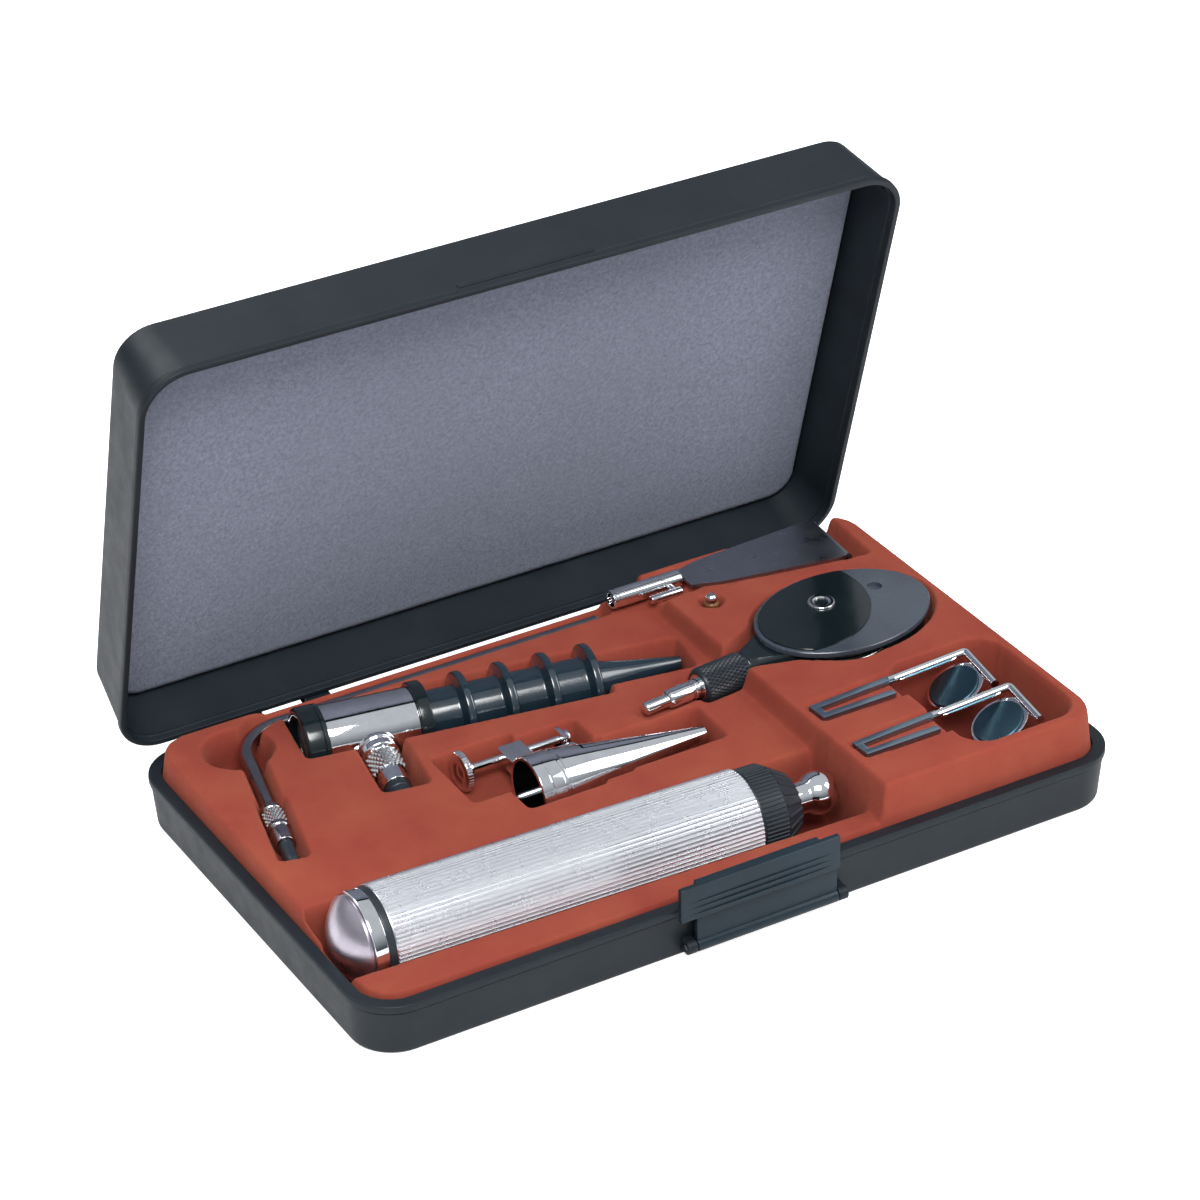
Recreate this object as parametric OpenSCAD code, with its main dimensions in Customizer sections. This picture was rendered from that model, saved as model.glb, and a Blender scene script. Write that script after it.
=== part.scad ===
// Hard plastic carry case with a diagnostic instrument set lying in a moulded tray.
// X runs along the front of the case, Y to the hinge side, Z up; the table is at Z = 0.
// The origin is under the middle of the base, and the lid stands open as photographed.

/* [Case] */
// Space between the handle's end cap and the outside of the case
end_space = 6.1; // [6:0.1:12]
// Depth of the case from front to back
case_d = 150; // [150:1:160]
// Height of the base's rim above the table
base_h = 17; // [16:0.5:19]
// Height of the closed lid above the base's rim
lid_h = 25; // [24:0.5:30]
// Corner radius of the rims seen from above
corner_r = 15; // [12:0.5:18]
// Wall thickness of both shells
shell_wall = 2; // [1.6:0.1:2.4]
// Thickness of the base's floor
floor_t = 2; // [1.6:0.1:2.4]
// How far the base narrows on each side towards its underside
base_draft = 1.2; // [0.6:0.1:2]
// How far the lid narrows on each side towards its top
lid_draft = 2.8; // [1.5:0.1:3.5]
// Radius of the rounded edge round the underside and the top
edge_r = 3; // [2:0.5:4]
// Height of the raised bead along each rim
bead_h = 2.4; // [1.5:0.1:3.5]
// How far the bead stands out from the wall below it
bead_out = 0.6; // [0.3:0.1:1]
// Width of the flat rim that frames the tray
rim_land = 4; // [3.5:0.1:4.5]
// Thickness of the flat rim
rim_t = 1.6; // [1.2:0.1:2]
// Gap between the two rims when the case is shut
seam_gap = 0.15; // [0.1:0.05:0.4]

/* [Hinge] */
// Distance of the hinge pins behind the rear of the rim
hinge_out = 1.8; // [1.7:0.1:3]
// Distance of the hinge pins below the rim
hinge_drop = 8.5; // [7:0.5:10]
// Angle from shut to the photographed pose
lid_open = 74; // [60:1:100]
// Distance from the middle to each hinge
hinge_x = 70; // [50:1:90]
// Radius of the hinge knuckles
knuckle_r = 2.4; // [2.1:0.1:2.5]
// Length of each base knuckle
base_knuckle_len = 14; // [8:0.5:20]
// Length of each lid knuckle
lid_knuckle_len = 8; // [5:0.5:12]
// End gap between neighbouring knuckles
knuckle_gap = 0.3; // [0.2:0.05:0.6]
// Radius of the steel hinge pins
hinge_pin_r = 1; // [0.8:0.1:1.2]
// Radial play of the lid on its pins
hinge_play = 0.06; // [0.03:0.01:0.1]

/* [Latch] */
// Where the middle of the latch lies along the front
latch_x = 0; // [-10:0.5:10]
// Width of the lower plate of the latch
latch_plate_w = 46.4; // [36:0.2:50]
// How far the grip reaches past the plate at its left end
latch_grip_over = 6; // [1:0.5:8]
// Thickness of the lower plate
latch_plate_t = 1.8; // [1.4:0.1:2.2]
// Thickness of the grip
latch_grip_t = 2; // [1.6:0.1:2.6]
// Height of the grip above the lower plate
latch_grip_h = 11; // [10:0.5:12]
// How far the grip stands forward of the lower plate
latch_step = 1.6; // [1.4:0.1:2]
// Height of the latch's pin above the table
latch_pin_z = 4.2; // [3.8:0.1:5]
// Radius of the latch's pin
latch_pin_r = 0.9; // [0.7:0.1:1]
// Radius of the latch's barrel and of the base's ears
latch_barrel_r = 2.1; // [1.9:0.1:2.3]
// Width of each ear that holds the latch's pin
latch_ear_w = 3; // [2:0.5:5]
// Gap between the latch and the base
latch_gap = 0.3; // [0.2:0.05:0.6]
// Radial play of the latch on its pin
latch_play = 0.06; // [0.03:0.01:0.1]
// How far the lid's keeper rib and the latch's nose overlap
latch_bite = 1.2; // [0.8:0.1:1.6]
// Number of finger ribs on the grip
grip_ribs = 3; // [2:1:4]

/* [Tray] */
// Thickness of the flocked tray sheet
tray_t = 0.9; // [0.7:0.1:1.2]
// Gap between the tray's edge and the flat rim
tray_gap = 0.3; // [0.2:0.1:0.6]
// Gap between each instrument and its pocket
pocket_gap = 0.3; // [0.2:0.05:0.5]
// Height of the front strip of the tray above the rim
front_rise = 1; // [0.5:0.1:1.5]
// Depth of the level strip in front of the handle
front_strip = 12.5; // [10:0.5:13]
// Height of the tray above the rim where its slope ends behind the handle
mid_rise = 5; // [4:0.1:6]
// Where that slope ends from front to back
mid_y = -30; // [-34:1:-28]
// Height of the tray above the rim along its rear edge
rear_rise = 7; // [6:0.1:8]
// Height of the right-hand plateau above the rim
plateau_rise = 12.8; // [12:0.1:13.5]
// Where the plateau's left edge lies along the front
plateau_x = 44; // [43:0.5:46]
// How far the foot of the plateau's wall lies left of its edge
plateau_slope = 1.5; // [0.5:0.1:3]
// Gap between the foam lining and the tallest instrument when shut
foam_gap = 0.6; // [0.4:0.1:1.5]

/* [Battery handle] */
// Outer radius of the fluted sleeve
handle_r = 14.3; // [14:0.1:14.6]
// Wall thickness of the sleeve
sleeve_wall = 1; // [0.8:0.1:1.1]
// Length of the sleeve
sleeve_len = 115.8; // [113:0.5:118]
// Where the rear end of the sleeve lies along the case
handle_x = -105.1; // [-106:0.1:-103]
// Where the rear end of the sleeve lies from front to back
handle_y = -42; // [-43:0.1:-41]
// How far the handle is turned towards the front
handle_turn = 2; // [1:0.1:3]
// Thickness of the black sealing ring
seal_t = 2.4; // [1.5:0.1:3]
// Length of the end cap's chrome band
cap_band = 6; // [4:0.5:7]
// Height of the end cap's dome
cap_dome = 5.4; // [4:0.1:6]
// Length of the switch collar's knurled part
collar_len = 8; // [6:0.5:10]
// Length of the switch collar's taper
collar_taper = 7.5; // [5:0.5:9]
// Radius of the ball-shaped socket nose
nose_r = 6.5; // [6.2:0.1:6.8]
// Length of the neck between the collar and the nose
neck_len = 4.5; // [3:0.5:6]
// Radius of the bore that takes an instrument head
socket_bore_r = 4; // [3.6:0.1:4.2]
// Depth of the bore that takes an instrument head
socket_depth = 8; // [6:0.5:10]
// Radius of one battery cell
cell_r = 13; // [12.6:0.1:13]
// Length of one battery cell without its button
cell_len = 49.2; // [48:0.1:49.5]

/* [Otoscope] */
// Radius of the otoscope's barrel
barrel_r = 10.5; // [10:0.1:11]
// Length of the otoscope's barrel
barrel_len = 28; // [26:0.5:30]
// Wall thickness of the barrel
barrel_wall = 1.4; // [1:0.1:2]
// Where the middle of the barrel lies along the case
otoscope_x = -60.4; // [-61:0.1:-60]
// Where the middle of the barrel lies from front to back
otoscope_y = 48.9; // [48.5:0.1:49.2]
// Height of the otoscope's axis above the table
otoscope_z = 19.6; // [19:0.1:20.5]
// How far the otoscope is turned towards the front
otoscope_turn = 9.3; // [9:0.1:9.6]
// Radius of the black lens bezel
bezel_r = 11.4; // [11.2:0.1:11.6]
// Length of the black lens bezel
bezel_len = 7; // [5:0.5:8]
// Radius of the black ring in front of the barrel
front_ring_r = 11.7; // [11.2:0.1:11.8]
// Length of the black ring in front of the barrel
front_ring_len = 4; // [3:0.1:4.5]
// Radius of the largest flange of an ear speculum
flange_r = 11.2; // [10.8:0.1:11.6]
// Thickness of the flange of an ear speculum
flange_t = 3; // [2.5:0.1:3.2]
// Outer radius of the skirt of an ear speculum
skirt_r = 9; // [8.8:0.1:9.4]
// Length of the skirt of an ear speculum
skirt_len = 10.4; // [9.5:0.1:10.6]
// Wall thickness of an ear speculum
speculum_wall = 0.8; // [0.6:0.1:1]
// Outer radius where an ear speculum's cone starts
cone_r = 6.2; // [5.8:0.1:6.4]
// Outer radius of an ear speculum's tip
tip_r = 2; // [1.7:0.1:2.2]
// Length of an ear speculum's cone
cone_len = 28; // [26:0.5:29]
// Length of the otoscope's stem from the barrel's axis
stem_len = 36; // [34:0.5:37]
// Angle by which the stem dips below level
stem_dip = 7; // [5:0.5:9]

/* [Bent arm lamp] */
// Radius of the bent tube
arm_r = 2.4; // [2.2:0.1:2.5]
// Height of the bent tube's axis above the table
arm_z = 19.4; // [19:0.1:20]
// Where the tube's straight leg lies from front to back
arm_y = 66.3; // [66:0.1:66.6]
// Where the tube's two legs would meet along the case
arm_corner_x = -94; // [-95:0.1:-93.5]
// Length of the long leg from that corner
arm_long = 122; // [118:0.5:124]
// Length of the short leg from that corner
arm_short = 44; // [42:0.5:45]
// Radius of the bend along the tube's axis
arm_bend_r = 16; // [14:0.5:18]
// Angle between the short leg and the front-to-back direction
arm_lean = 13.2; // [12:0.1:14]
// Radius of the knurled fitting on the short leg
arm_fitting_r = 3.4; // [3.1:0.1:3.6]
// Length of the knurled fitting
arm_fitting_len = 19; // [17:0.5:20]
// Length of the black contact tip
arm_tip_len = 10; // [8:0.5:12]

/* [Nasal speculum] */
// Where the middle of the viewing ring lies along the case
nasal_x = -31; // [-32:0.1:-30]
// Where the middle of the viewing ring lies from front to back
nasal_y = -4; // [-4.5:0.1:-3.5]
// Height of the speculum's axis above the table
nasal_z = 19; // [18.5:0.1:19.5]
// Outer radius of the viewing ring
nasal_ring_r = 10.5; // [10:0.1:10.8]
// Length of the viewing ring
nasal_ring_len = 9; // [7:0.5:10]
// Wall thickness of the ring and of the blades
nasal_wall = 1.2; // [1:0.1:1.4]
// Distance from the ring's middle to the tip of the blades
nasal_reach = 55; // [52:0.5:56]
// Outer radius of the closed blades at their tip
nasal_tip_r = 2.3; // [2.1:0.1:2.6]
// Gap between the two blades when closed
nasal_split = 0.4; // [0.3:0.1:0.6]
// Radius of the thumbscrew's disc
thumb_r = 6; // [5:0.5:6.5]
// Distance from the blades' axis to the thumbscrew's axis
thumb_out = 17; // [16.5:0.5:17.5]

/* [Ophthalmoscope] */
// Where the middle of the oval head lies along the case
scope_x = 85.6; // [85:0.1:86]
// Where the middle of the oval head lies from front to back
scope_y = 16.6; // [16:0.1:17]
// Height of the stem's axis above the table
scope_z = 24.6; // [24.2:0.1:25]
// Angle by which the ophthalmoscope is turned towards the rear
scope_turn = 6; // [5:0.5:7]
// Half length of the oval face plate
plate_a = 29.5; // [28.5:0.1:30]
// Half width of the oval face plate
plate_b = 21.8; // [21:0.1:22]
// Thickness of the oval face plate
plate_t = 1.8; // [1.4:0.1:2.2]
// How far the face plate stands out round the housing
plate_lip = 1.3; // [1:0.1:1.6]
// Thickness of the housing under the face plate
housing_t = 9; // [8.5:0.1:9.4]
// Radius of the knurled lens wheel
wheel_r = 17; // [16.7:0.1:17.3]
// Thickness of the knurled lens wheel
wheel_t = 2.8; // [2.4:0.1:3]
// Play round the lens wheel
wheel_gap = 0.4; // [0.3:0.1:0.6]
// Radius of the black stem collar
stem_collar_r = 5.7; // [5.4:0.1:5.9]
// Radius of the chrome connector
connector_r = 3; // [2.8:0.1:3.2]
// Radius of the connector's end
connector_tip_r = 2; // [1.8:0.1:2.2]

/* [Tongue depressor] */
// Where the clip tube's left end lies along the case
tongue_x = 31.5; // [30.5:0.1:32.5]
// Where the clip tube's axis lies from front to back
tongue_y = 63; // [62.5:0.1:63.5]
// Height of the clip tube's axis above the table
tongue_z = 28.2; // [28:0.1:28.5]
// Length of the clip tube
clip_tube_len = 24.5; // [23:0.5:25.5]
// Radius of the clip tube
clip_tube_r = 3; // [2.7:0.1:3.2]
// How far the blade's middle line lies in front of the tube's axis
blade_shift = 3; // [2.5:0.1:3.3]
// Angle by which the blade is turned towards the front
blade_turn = 3.5; // [2:0.5:4.5]
// Thickness of the blade
blade_t = 1.2; // [1:0.1:1.4]
// Length of the blade beyond the clip tube
blade_len = 53; // [50:0.5:54]
// Width of the blade at its root
blade_root_w = 10; // [8:0.5:11]
// Width of the blade at its end
blade_end_w = 24.5; // [16:0.5:24.5]
// Length of the lip bent down at the blade's end
blade_lip = 4; // [2:0.5:5]

/* [Spare lamp and mirrors] */
// Where the spare lamp stands along the case
lamp_x = 56; // [55.5:0.1:56.5]
// Where the spare lamp stands from front to back
lamp_y = 44; // [43.8:0.1:44.3]
// Radius of the spare lamp's base
lamp_r = 2.5; // [2.2:0.1:2.6]
// Where the left ends of the mirror clips lie along the case
mirror_x = 49; // [48.5:0.1:49.5]
// Where the rear mirror's clip lies from front to back
mirror_y = -23; // [-23.4:0.1:-22.8]
// Distance between the two mirrors
mirror_pitch = 23; // [22.5:0.1:23.2]
// Angle by which the mirrors are turned towards the rear
mirror_turn = 3.5; // [3:0.1:4]
// Length of each mirror's long clip prong
clip_len = 30; // [29:0.5:30.5]
// Width of each clip prong
prong_w = 2.4; // [2:0.1:2.6]
// Thickness of each clip prong
prong_t = 1.6; // [1.4:0.1:1.8]
// Distance between the two prongs at their joined end
prong_pitch = 5.2; // [4.6:0.1:5.6]
// Radius of the mirror rods
rod_r = 1.05; // [0.9:0.05:1.2]
// Length of each mirror rod beyond its clip
rod_len = 27; // [25:0.5:27.5]
// Length of the rod's foot that carries the mirror
rod_foot = 20; // [19.5:0.5:21]
// Angle by which the foot leans back from a right angle
foot_lean = 12; // [8:1:14]
// Radius of each laryngeal mirror
mirror_r = 9.2; // [8.6:0.1:9.6]
// Angle by which each mirror hangs into its pocket
mirror_dip = 28; // [24:1:32]
// Height of the clip prongs' upper face below the plateau
prong_sink = 0.3; // [0:0.1:0.6]

/* [Hidden] */
$fn = 64;
hull_fn = 32;
bite = 0.02;
far = 200;

cap_back = seal_t + cap_band + cap_dome;
case_w = 2 * (cap_back - handle_x + end_space);
hinge_y = case_d / 2 + hinge_out;
hinge_z = base_h - hinge_drop;
lid_z0 = base_h + seam_gap;
lid_top = base_h + lid_h;
lid_inner_top = lid_top - shell_wall;
wall_inset = shell_wall + bead_out;
inner_edge = 0.4;
fit = 0.04;
run = 0.06;

opening_w = case_w - 2 * rim_land;
opening_d = case_d - 2 * rim_land;
opening_r = corner_r - rim_land;
tray_inset = max(rim_land + tray_gap, wall_inset + base_draft + 0.35);
tray_w = case_w - 2 * tray_inset;
tray_d = case_d - 2 * tray_inset;
tray_r = corner_r - tray_inset;
tray_z0 = floor_t + 0.05;
front_z = base_h + front_rise;
mid_z = base_h + mid_rise;
rear_z = base_h + rear_rise;
plateau_z = base_h + plateau_rise;
lid_slope = lid_draft / (lid_inner_top - inner_edge - lid_z0 - bead_h);
lid_inset_here = wall_inset + lid_slope * (plateau_z - lid_z0 - bead_h);
plateau_inset = max(0, lid_inset_here + 0.8 - tray_inset);

handle_z = tray_z0 + tray_t + 0.4 + pocket_gap + handle_r;
sleeve_bore_r = handle_r - sleeve_wall;
button_h = 1;
cell_start = 10;
plug_s = cell_start + 2 * (cell_len + button_h) + 0.15;
collar_s = sleeve_len + 0.2;
collar_end = collar_s + collar_len + collar_taper;
nose_s = collar_end + neck_len;
ball_s = nose_s + nose_r - 1.5;
nose_end = ball_s + nose_r - 1.6;
bore_start = nose_end - socket_depth;
bush_r = 2.4;
stalk_r = 7;

otoscope_r = max(flange_r, front_ring_r, bezel_r);
nose_base_r = skirt_r - speculum_wall - 0.35;
speculum_pitch = flange_t + skirt_len;
speculum_start = barrel_len / 2 + front_ring_len + skirt_len + 0.1;
speculum_end = speculum_start + 3 * speculum_pitch + flange_t;
cone_bore_r = cone_r - speculum_wall;
tip_bore_r = tip_r - 0.7;
stem_start = barrel_r - 1;

arm_turn = 90 - arm_lean;
arm_tangent = arm_bend_r * tan(arm_turn / 2);
fitting_start = arm_short - 3;
arm_end = fitting_start + arm_fitting_len + arm_tip_len;

funnel_start = nasal_ring_len / 2;
pivot_s = funnel_start + 11.5;
funnel_wide = nasal_ring_r - 0.2;
function funnel_r(s) = funnel_wide
    - (funnel_wide - nasal_tip_r) * (s - funnel_start) / (nasal_reach - funnel_start);
pivot_y = funnel_r(pivot_s) + 1.4;
thumb_z = 2;
lug_t = 1.4;
lug_z = 2.3;
lug_r = 1.4;

housing_z0 = scope_z - 4.4;
plate_z0 = housing_z0 + housing_t;
plate_top = plate_z0 + plate_t;
disc_t = 0.6;
eyelet_t = 0.6;
wheel_at = [-6.5, -4.5];
wheel_z0 = housing_z0 + 4.6;
sight_at = [-3, 6.4];
sight_r = 2.2;

blade_x = tongue_x + clip_tube_len;
blade_z0 = tongue_z + 0.6;
end_floor = blade_z0 + blade_t - blade_lip - 3;

lamp_len = 8.7;
lamp_z0 = plateau_z - 0.3 - lamp_len;
cap_len = 2.7;
lamp_cap_r = 1.8;

prong_z0 = plateau_z - prong_sink - prong_t;
rod_z = prong_z0 + prong_t - rod_r;

scope_top = plate_top + disc_t + eyelet_t;
foam_z = max(handle_z + handle_r, scope_top, lamp_z0 + lamp_len + cap_len) + foam_gap;

// Plan shapes and other shared forms

// A slab with rounded corners, centred on the origin and standing on Z = 0
module rounded_slab(w, d, r, h) {
    translate([-w / 2 + r, -d / 2, 0]) cube([w - 2 * r, d, h]);
    translate([-w / 2, -d / 2 + r, 0]) cube([w, d - 2 * r, h]);
    for (x = [-1, 1], y = [-1, 1])
        translate([x * (w / 2 - r), y * (d / 2 - r), 0]) cylinder(r = r, h = h);
}

// A drafted box: a wide rim at Z = 0 and a narrower far end at Z = h with rounded edges
module drafted_box(w, d, r, h, draft, edge) {
    far_r = max(r - draft, edge + 0.5);
    hull() {
        for (x = [-1, 1], y = [-1, 1])
            translate([x * (w / 2 - r), y * (d / 2 - r), 0])
                cylinder(r = r, h = 0.1, $fn = hull_fn);
        for (x = [-1, 1], y = [-1, 1])
            translate([x * (w / 2 - draft - far_r), y * (d / 2 - draft - far_r), h - edge])
                rotate_extrude($fn = hull_fn)
                    translate([far_r - edge, 0]) circle(r = edge, $fn = 16);
    }
}

// A cylinder along X that starts at the origin
module rod_x(r, len, r2 = -1) {
    rotate([0, 90, 0]) cylinder(r1 = r, r2 = r2 < 0 ? r : r2, h = len);
}

// A tube along X that starts at the origin
module tube_x(r_out, r_in, len) {
    difference() {
        rod_x(r_out, len);
        translate([-1, 0, 0]) rod_x(r_in, len + 2);
    }
}

// An upright slot with round ends, cut from its floor to far above; g grows it all round
module slot(len, r, floor_z, g) {
    translate([0, 0, floor_z - g]) {
        cylinder(r = r + g, h = far);
        translate([len, 0, 0]) cylinder(r = r + g, h = far);
        translate([0, -r - g, 0]) cube([len, 2 * (r + g), far]);
    }
}

// A half-round trough along X that is open above its axis; g grows it all round
module trough(len, r, g) {
    translate([-g, 0, 0]) rod_x(r + g, len + 2 * g);
    translate([-g, -r - g, 0]) cube([len + 2 * g, 2 * (r + g), far]);
}

// The points of an ellipse
function ellipse_points(a, b, n = 72) = [for (i = [0:n - 1]) [a * cos(360 * i / n), b * sin(360 * i / n)]];

// Carries the lid from shut to the photographed pose
module at_lid() {
    translate([0, hinge_y, hinge_z]) rotate([-lid_open, 0, 0]) translate([0, -hinge_y, -hinge_z])
        children();
}

// Case shells

rear_wall_y = case_d / 2;

module base_outer() {
    bead_z = base_h - bead_h;
    translate([0, 0, bead_z]) mirror([0, 0, 1])
        drafted_box(case_w - 2 * bead_out, case_d - 2 * bead_out, corner_r - bead_out,
            bead_z, base_draft, edge_r);
    translate([0, 0, bead_z - 0.1]) rounded_slab(case_w, case_d, corner_r, bead_h + 0.1);
}

module base_inner() {
    cavity_top = base_h - rim_t;
    translate([0, 0, cavity_top]) mirror([0, 0, 1])
        drafted_box(case_w - 2 * wall_inset, case_d - 2 * wall_inset, corner_r - wall_inset,
            cavity_top - floor_t, base_draft, inner_edge);
    translate([0, 0, cavity_top - 1]) rounded_slab(opening_w, opening_d, opening_r, far);
}

// One row of knuckle material at a hinge: a round knuckle with a web to the wall beside it
module base_knuckle() {
    len = base_knuckle_len;
    web = hinge_y - rear_wall_y + bead_out + 1;
    rotate([0, 90, 0]) cylinder(r = knuckle_r, h = len, center = true);
    translate([-len / 2, -web, -knuckle_r]) cube([len, web, 2 * knuckle_r]);
}

module hinge_bore(r) {
    for (x = [-1, 1])
        translate([x * hinge_x, hinge_y, hinge_z])
            rotate([0, 90, 0]) cylinder(r = r, h = 2 * far, center = true);
}

latch_pin_y = -(case_d / 2 + latch_gap + latch_plate_t / 2);
latch_plate_y = latch_pin_y - latch_plate_t / 2;
latch_plate_top = base_h - bead_h;

module latch_ears() {
    ear_x = latch_plate_w / 2 + latch_gap;
    for (side = [-1, 1]) {
        start = side > 0 ? ear_x : -ear_x - latch_ear_w;
        translate([latch_x + start, latch_pin_y, latch_pin_z]) rod_x(latch_barrel_r, latch_ear_w);
        translate([latch_x + start, latch_pin_y, latch_pin_z - latch_barrel_r])
            cube([latch_ear_w, 4, 2 * latch_barrel_r]);
    }
}

module latch_pin_bore(r) {
    translate([latch_x - latch_plate_w, latch_pin_y, latch_pin_z]) rod_x(r, 2 * latch_plate_w);
}

module base_shell() {
    color([0.17, 0.19, 0.23])
    difference() {
        union() {
            difference() {
                base_outer();
                base_inner();
            }
            for (x = [-1, 1]) translate([x * hinge_x, hinge_y, hinge_z]) base_knuckle();
            latch_ears();
        }
        hinge_bore(hinge_pin_r + 0.02);
        latch_pin_bore(latch_pin_r + 0.02);
    }
}

module lid_outer() {
    rounded_base = lid_z0 + bead_h;
    translate([0, 0, lid_z0]) rounded_slab(case_w, case_d, corner_r, bead_h + 0.1);
    translate([0, 0, rounded_base])
        drafted_box(case_w - 2 * bead_out, case_d - 2 * bead_out, corner_r - bead_out,
            lid_top - rounded_base, lid_draft, edge_r);
}

module lid_inner() {
    slope_z = lid_z0 + bead_h - 0.2;
    translate([0, 0, lid_z0 - 0.5])
        rounded_slab(case_w - 2 * shell_wall, case_d - 2 * shell_wall, corner_r - shell_wall,
            bead_h + 0.5);
    translate([0, 0, slope_z])
        drafted_box(case_w - 2 * wall_inset, case_d - 2 * wall_inset, corner_r - wall_inset,
            lid_inner_top - slope_z, lid_draft, inner_edge);
}

// A lid knuckle with the arm that carries it up behind the base's rim
module lid_knuckle(len) {
    arm_y0 = rear_wall_y + 0.3 - hinge_y;
    arm_top = lid_z0 + bead_h + 3 - hinge_z;
    rod_x(knuckle_r, len);
    translate([0, arm_y0, 0]) cube([len, knuckle_r - arm_y0, arm_top]);
    translate([0, arm_y0 - 1.6, lid_z0 + 0.4 - hinge_z])
        cube([len, knuckle_r - arm_y0 + 1.6, arm_top - lid_z0 - 0.4 + hinge_z]);
}

latch_grip_x0 = latch_x - latch_plate_w / 2 - latch_grip_over;
latch_grip_w = latch_plate_w + latch_grip_over;
keeper_z0 = latch_plate_top + latch_grip_h - 5.6;
keeper_h = 1.8;
nose_gap = 0.35;
grip_back_y = latch_plate_y - latch_step + latch_grip_t;
grip_front_y = latch_plate_y - latch_step;
keeper_y = grip_back_y + nose_gap;
latch_nose_y = keeper_y + latch_bite;

module lid_shell() {
    color([0.16, 0.18, 0.22])
    at_lid()
    difference() {
        union() {
            difference() {
                lid_outer();
                lid_inner();
            }
            for (x = [-1, 1], side = [-1, 1]) {
                inner = base_knuckle_len / 2 + knuckle_gap;
                start = side > 0 ? inner : -inner - lid_knuckle_len;
                translate([x * hinge_x + start, hinge_y, hinge_z]) lid_knuckle(lid_knuckle_len);
            }
            translate([latch_grip_x0 + 4, keeper_y, keeper_z0])
                cube([latch_grip_w - 8, -case_d / 2 + 1.2 - keeper_y, keeper_h]);
        }
        hinge_bore(hinge_pin_r + hinge_play);
    }
}

module hinge_pins() {
    len = base_knuckle_len + 2 * (knuckle_gap + lid_knuckle_len) - 0.4;
    color([0.7, 0.7, 0.72])
    for (x = [-1, 1])
        translate([x * hinge_x - len / 2, hinge_y, hinge_z]) rod_x(hinge_pin_r, len);
}

module latch() {
    grip_z1 = latch_plate_top + latch_grip_h;
    nose_z0 = keeper_z0 + keeper_h + nose_gap;
    color([0.15, 0.18, 0.23])
    difference() {
        union() {
            translate([latch_x - latch_plate_w / 2, latch_pin_y, latch_pin_z])
                rod_x(latch_barrel_r, latch_plate_w);
            translate([latch_x - latch_plate_w / 2, latch_plate_y, latch_pin_z])
                cube([latch_plate_w, latch_plate_t, latch_plate_top - latch_pin_z + 0.4]);
            translate([latch_grip_x0, grip_front_y, latch_plate_top])
                cube([latch_grip_w, latch_grip_t, latch_grip_h]);
            translate([latch_x - latch_plate_w / 2, grip_front_y, latch_plate_top])
                cube([latch_plate_w, latch_plate_y + latch_plate_t - grip_front_y, 1.4]);
            for (i = [0:grip_ribs - 1])
                translate([latch_grip_x0 + 2, grip_front_y, latch_plate_top + 1.6 + 2 * i])
                    rod_x(0.6, latch_grip_w - 4);
            translate([latch_grip_x0 + 6, grip_back_y - 0.2, nose_z0])
                cube([latch_grip_w - 12, latch_nose_y - grip_back_y + 0.2, grip_z1 - nose_z0]);
        }
        latch_pin_bore(latch_pin_r + latch_play);
    }
}

module latch_pin() {
    len = latch_plate_w + 2 * (latch_gap + latch_ear_w) - 0.4;
    color([0.6, 0.6, 0.62])
    translate([latch_x - len / 2, latch_pin_y, latch_pin_z]) rod_x(latch_pin_r, len);
}

module lid_foam() {
    inset = wall_inset + lid_draft + inner_edge + 0.2;
    color([0.46, 0.46, 0.51])
    at_lid()
    translate([0, 0, foam_z])
        rounded_slab(case_w - 2 * inset, case_d - 2 * inset, corner_r - inset,
            lid_inner_top - foam_z);
}

// Where each instrument lies

module at_handle() {
    translate([handle_x, handle_y, handle_z]) rotate([0, 0, -handle_turn]) children();
}

module at_otoscope() {
    translate([otoscope_x, otoscope_y, otoscope_z]) rotate([0, 0, -otoscope_turn]) children();
}

module at_stem() {
    at_otoscope() rotate([0, 0, -90]) rotate([0, stem_dip, 0]) children();
}

module at_arm_corner() {
    translate([arm_corner_x, arm_y, arm_z]) children();
}

module at_arm_leg() {
    at_arm_corner() rotate([0, 0, -90 - arm_lean]) children();
}

module at_nasal() {
    translate([nasal_x, nasal_y, nasal_z]) children();
}

module at_scope() {
    translate([scope_x, scope_y, 0]) rotate([0, 0, scope_turn]) children();
}

module at_blade() {
    translate([blade_x, tongue_y - blade_shift, blade_z0]) rotate([0, 0, -blade_turn]) children();
}

module at_mirror(i) {
    translate([mirror_x, mirror_y - i * mirror_pitch, 0]) rotate([0, 0, mirror_turn]) children();
}

// The plane of a mirror: origin at the foot's middle, the disc lying to its -X side and dipping
module at_mirror_foot(i) {
    at_mirror(i) translate([clip_len + rod_len, 0, rod_z])
        rotate([0, 0, -foot_lean]) translate([0, -rod_foot / 2, 0]) children();
}

// Tray

module tray_levels(g) {
    low = tray_z0 - (g > 0 ? 1 : 0);
    half_d = tray_d / 2;
    intersection() {
        rotate([90, 0, 90]) linear_extrude(height = 2 * case_w, center = true)
            polygon([
                [-case_d, low], [case_d, low], [case_d, rear_z - g], [half_d, rear_z - g],
                [mid_y, mid_z - g], [-half_d + front_strip, front_z - g], [-case_d, front_z - g],
            ]);
        translate([0, 0, low])
            rounded_slab(tray_w - 2 * g, tray_d - 2 * g, tray_r - g, far);
    }
    intersection() {
        rotate([90, 0, 0]) linear_extrude(height = 2 * case_d, center = true)
            polygon([
                [plateau_x - plateau_slope + g, low], [plateau_x - plateau_slope + g, base_h],
                [plateau_x + g, plateau_z - g], [case_w, plateau_z - g], [case_w, low],
            ]);
        translate([0, 0, low])
            rounded_slab(tray_w - 2 * (plateau_inset + g), tray_d - 2 * (plateau_inset + g),
                tray_r - plateau_inset - g, far);
    }
}

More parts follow.
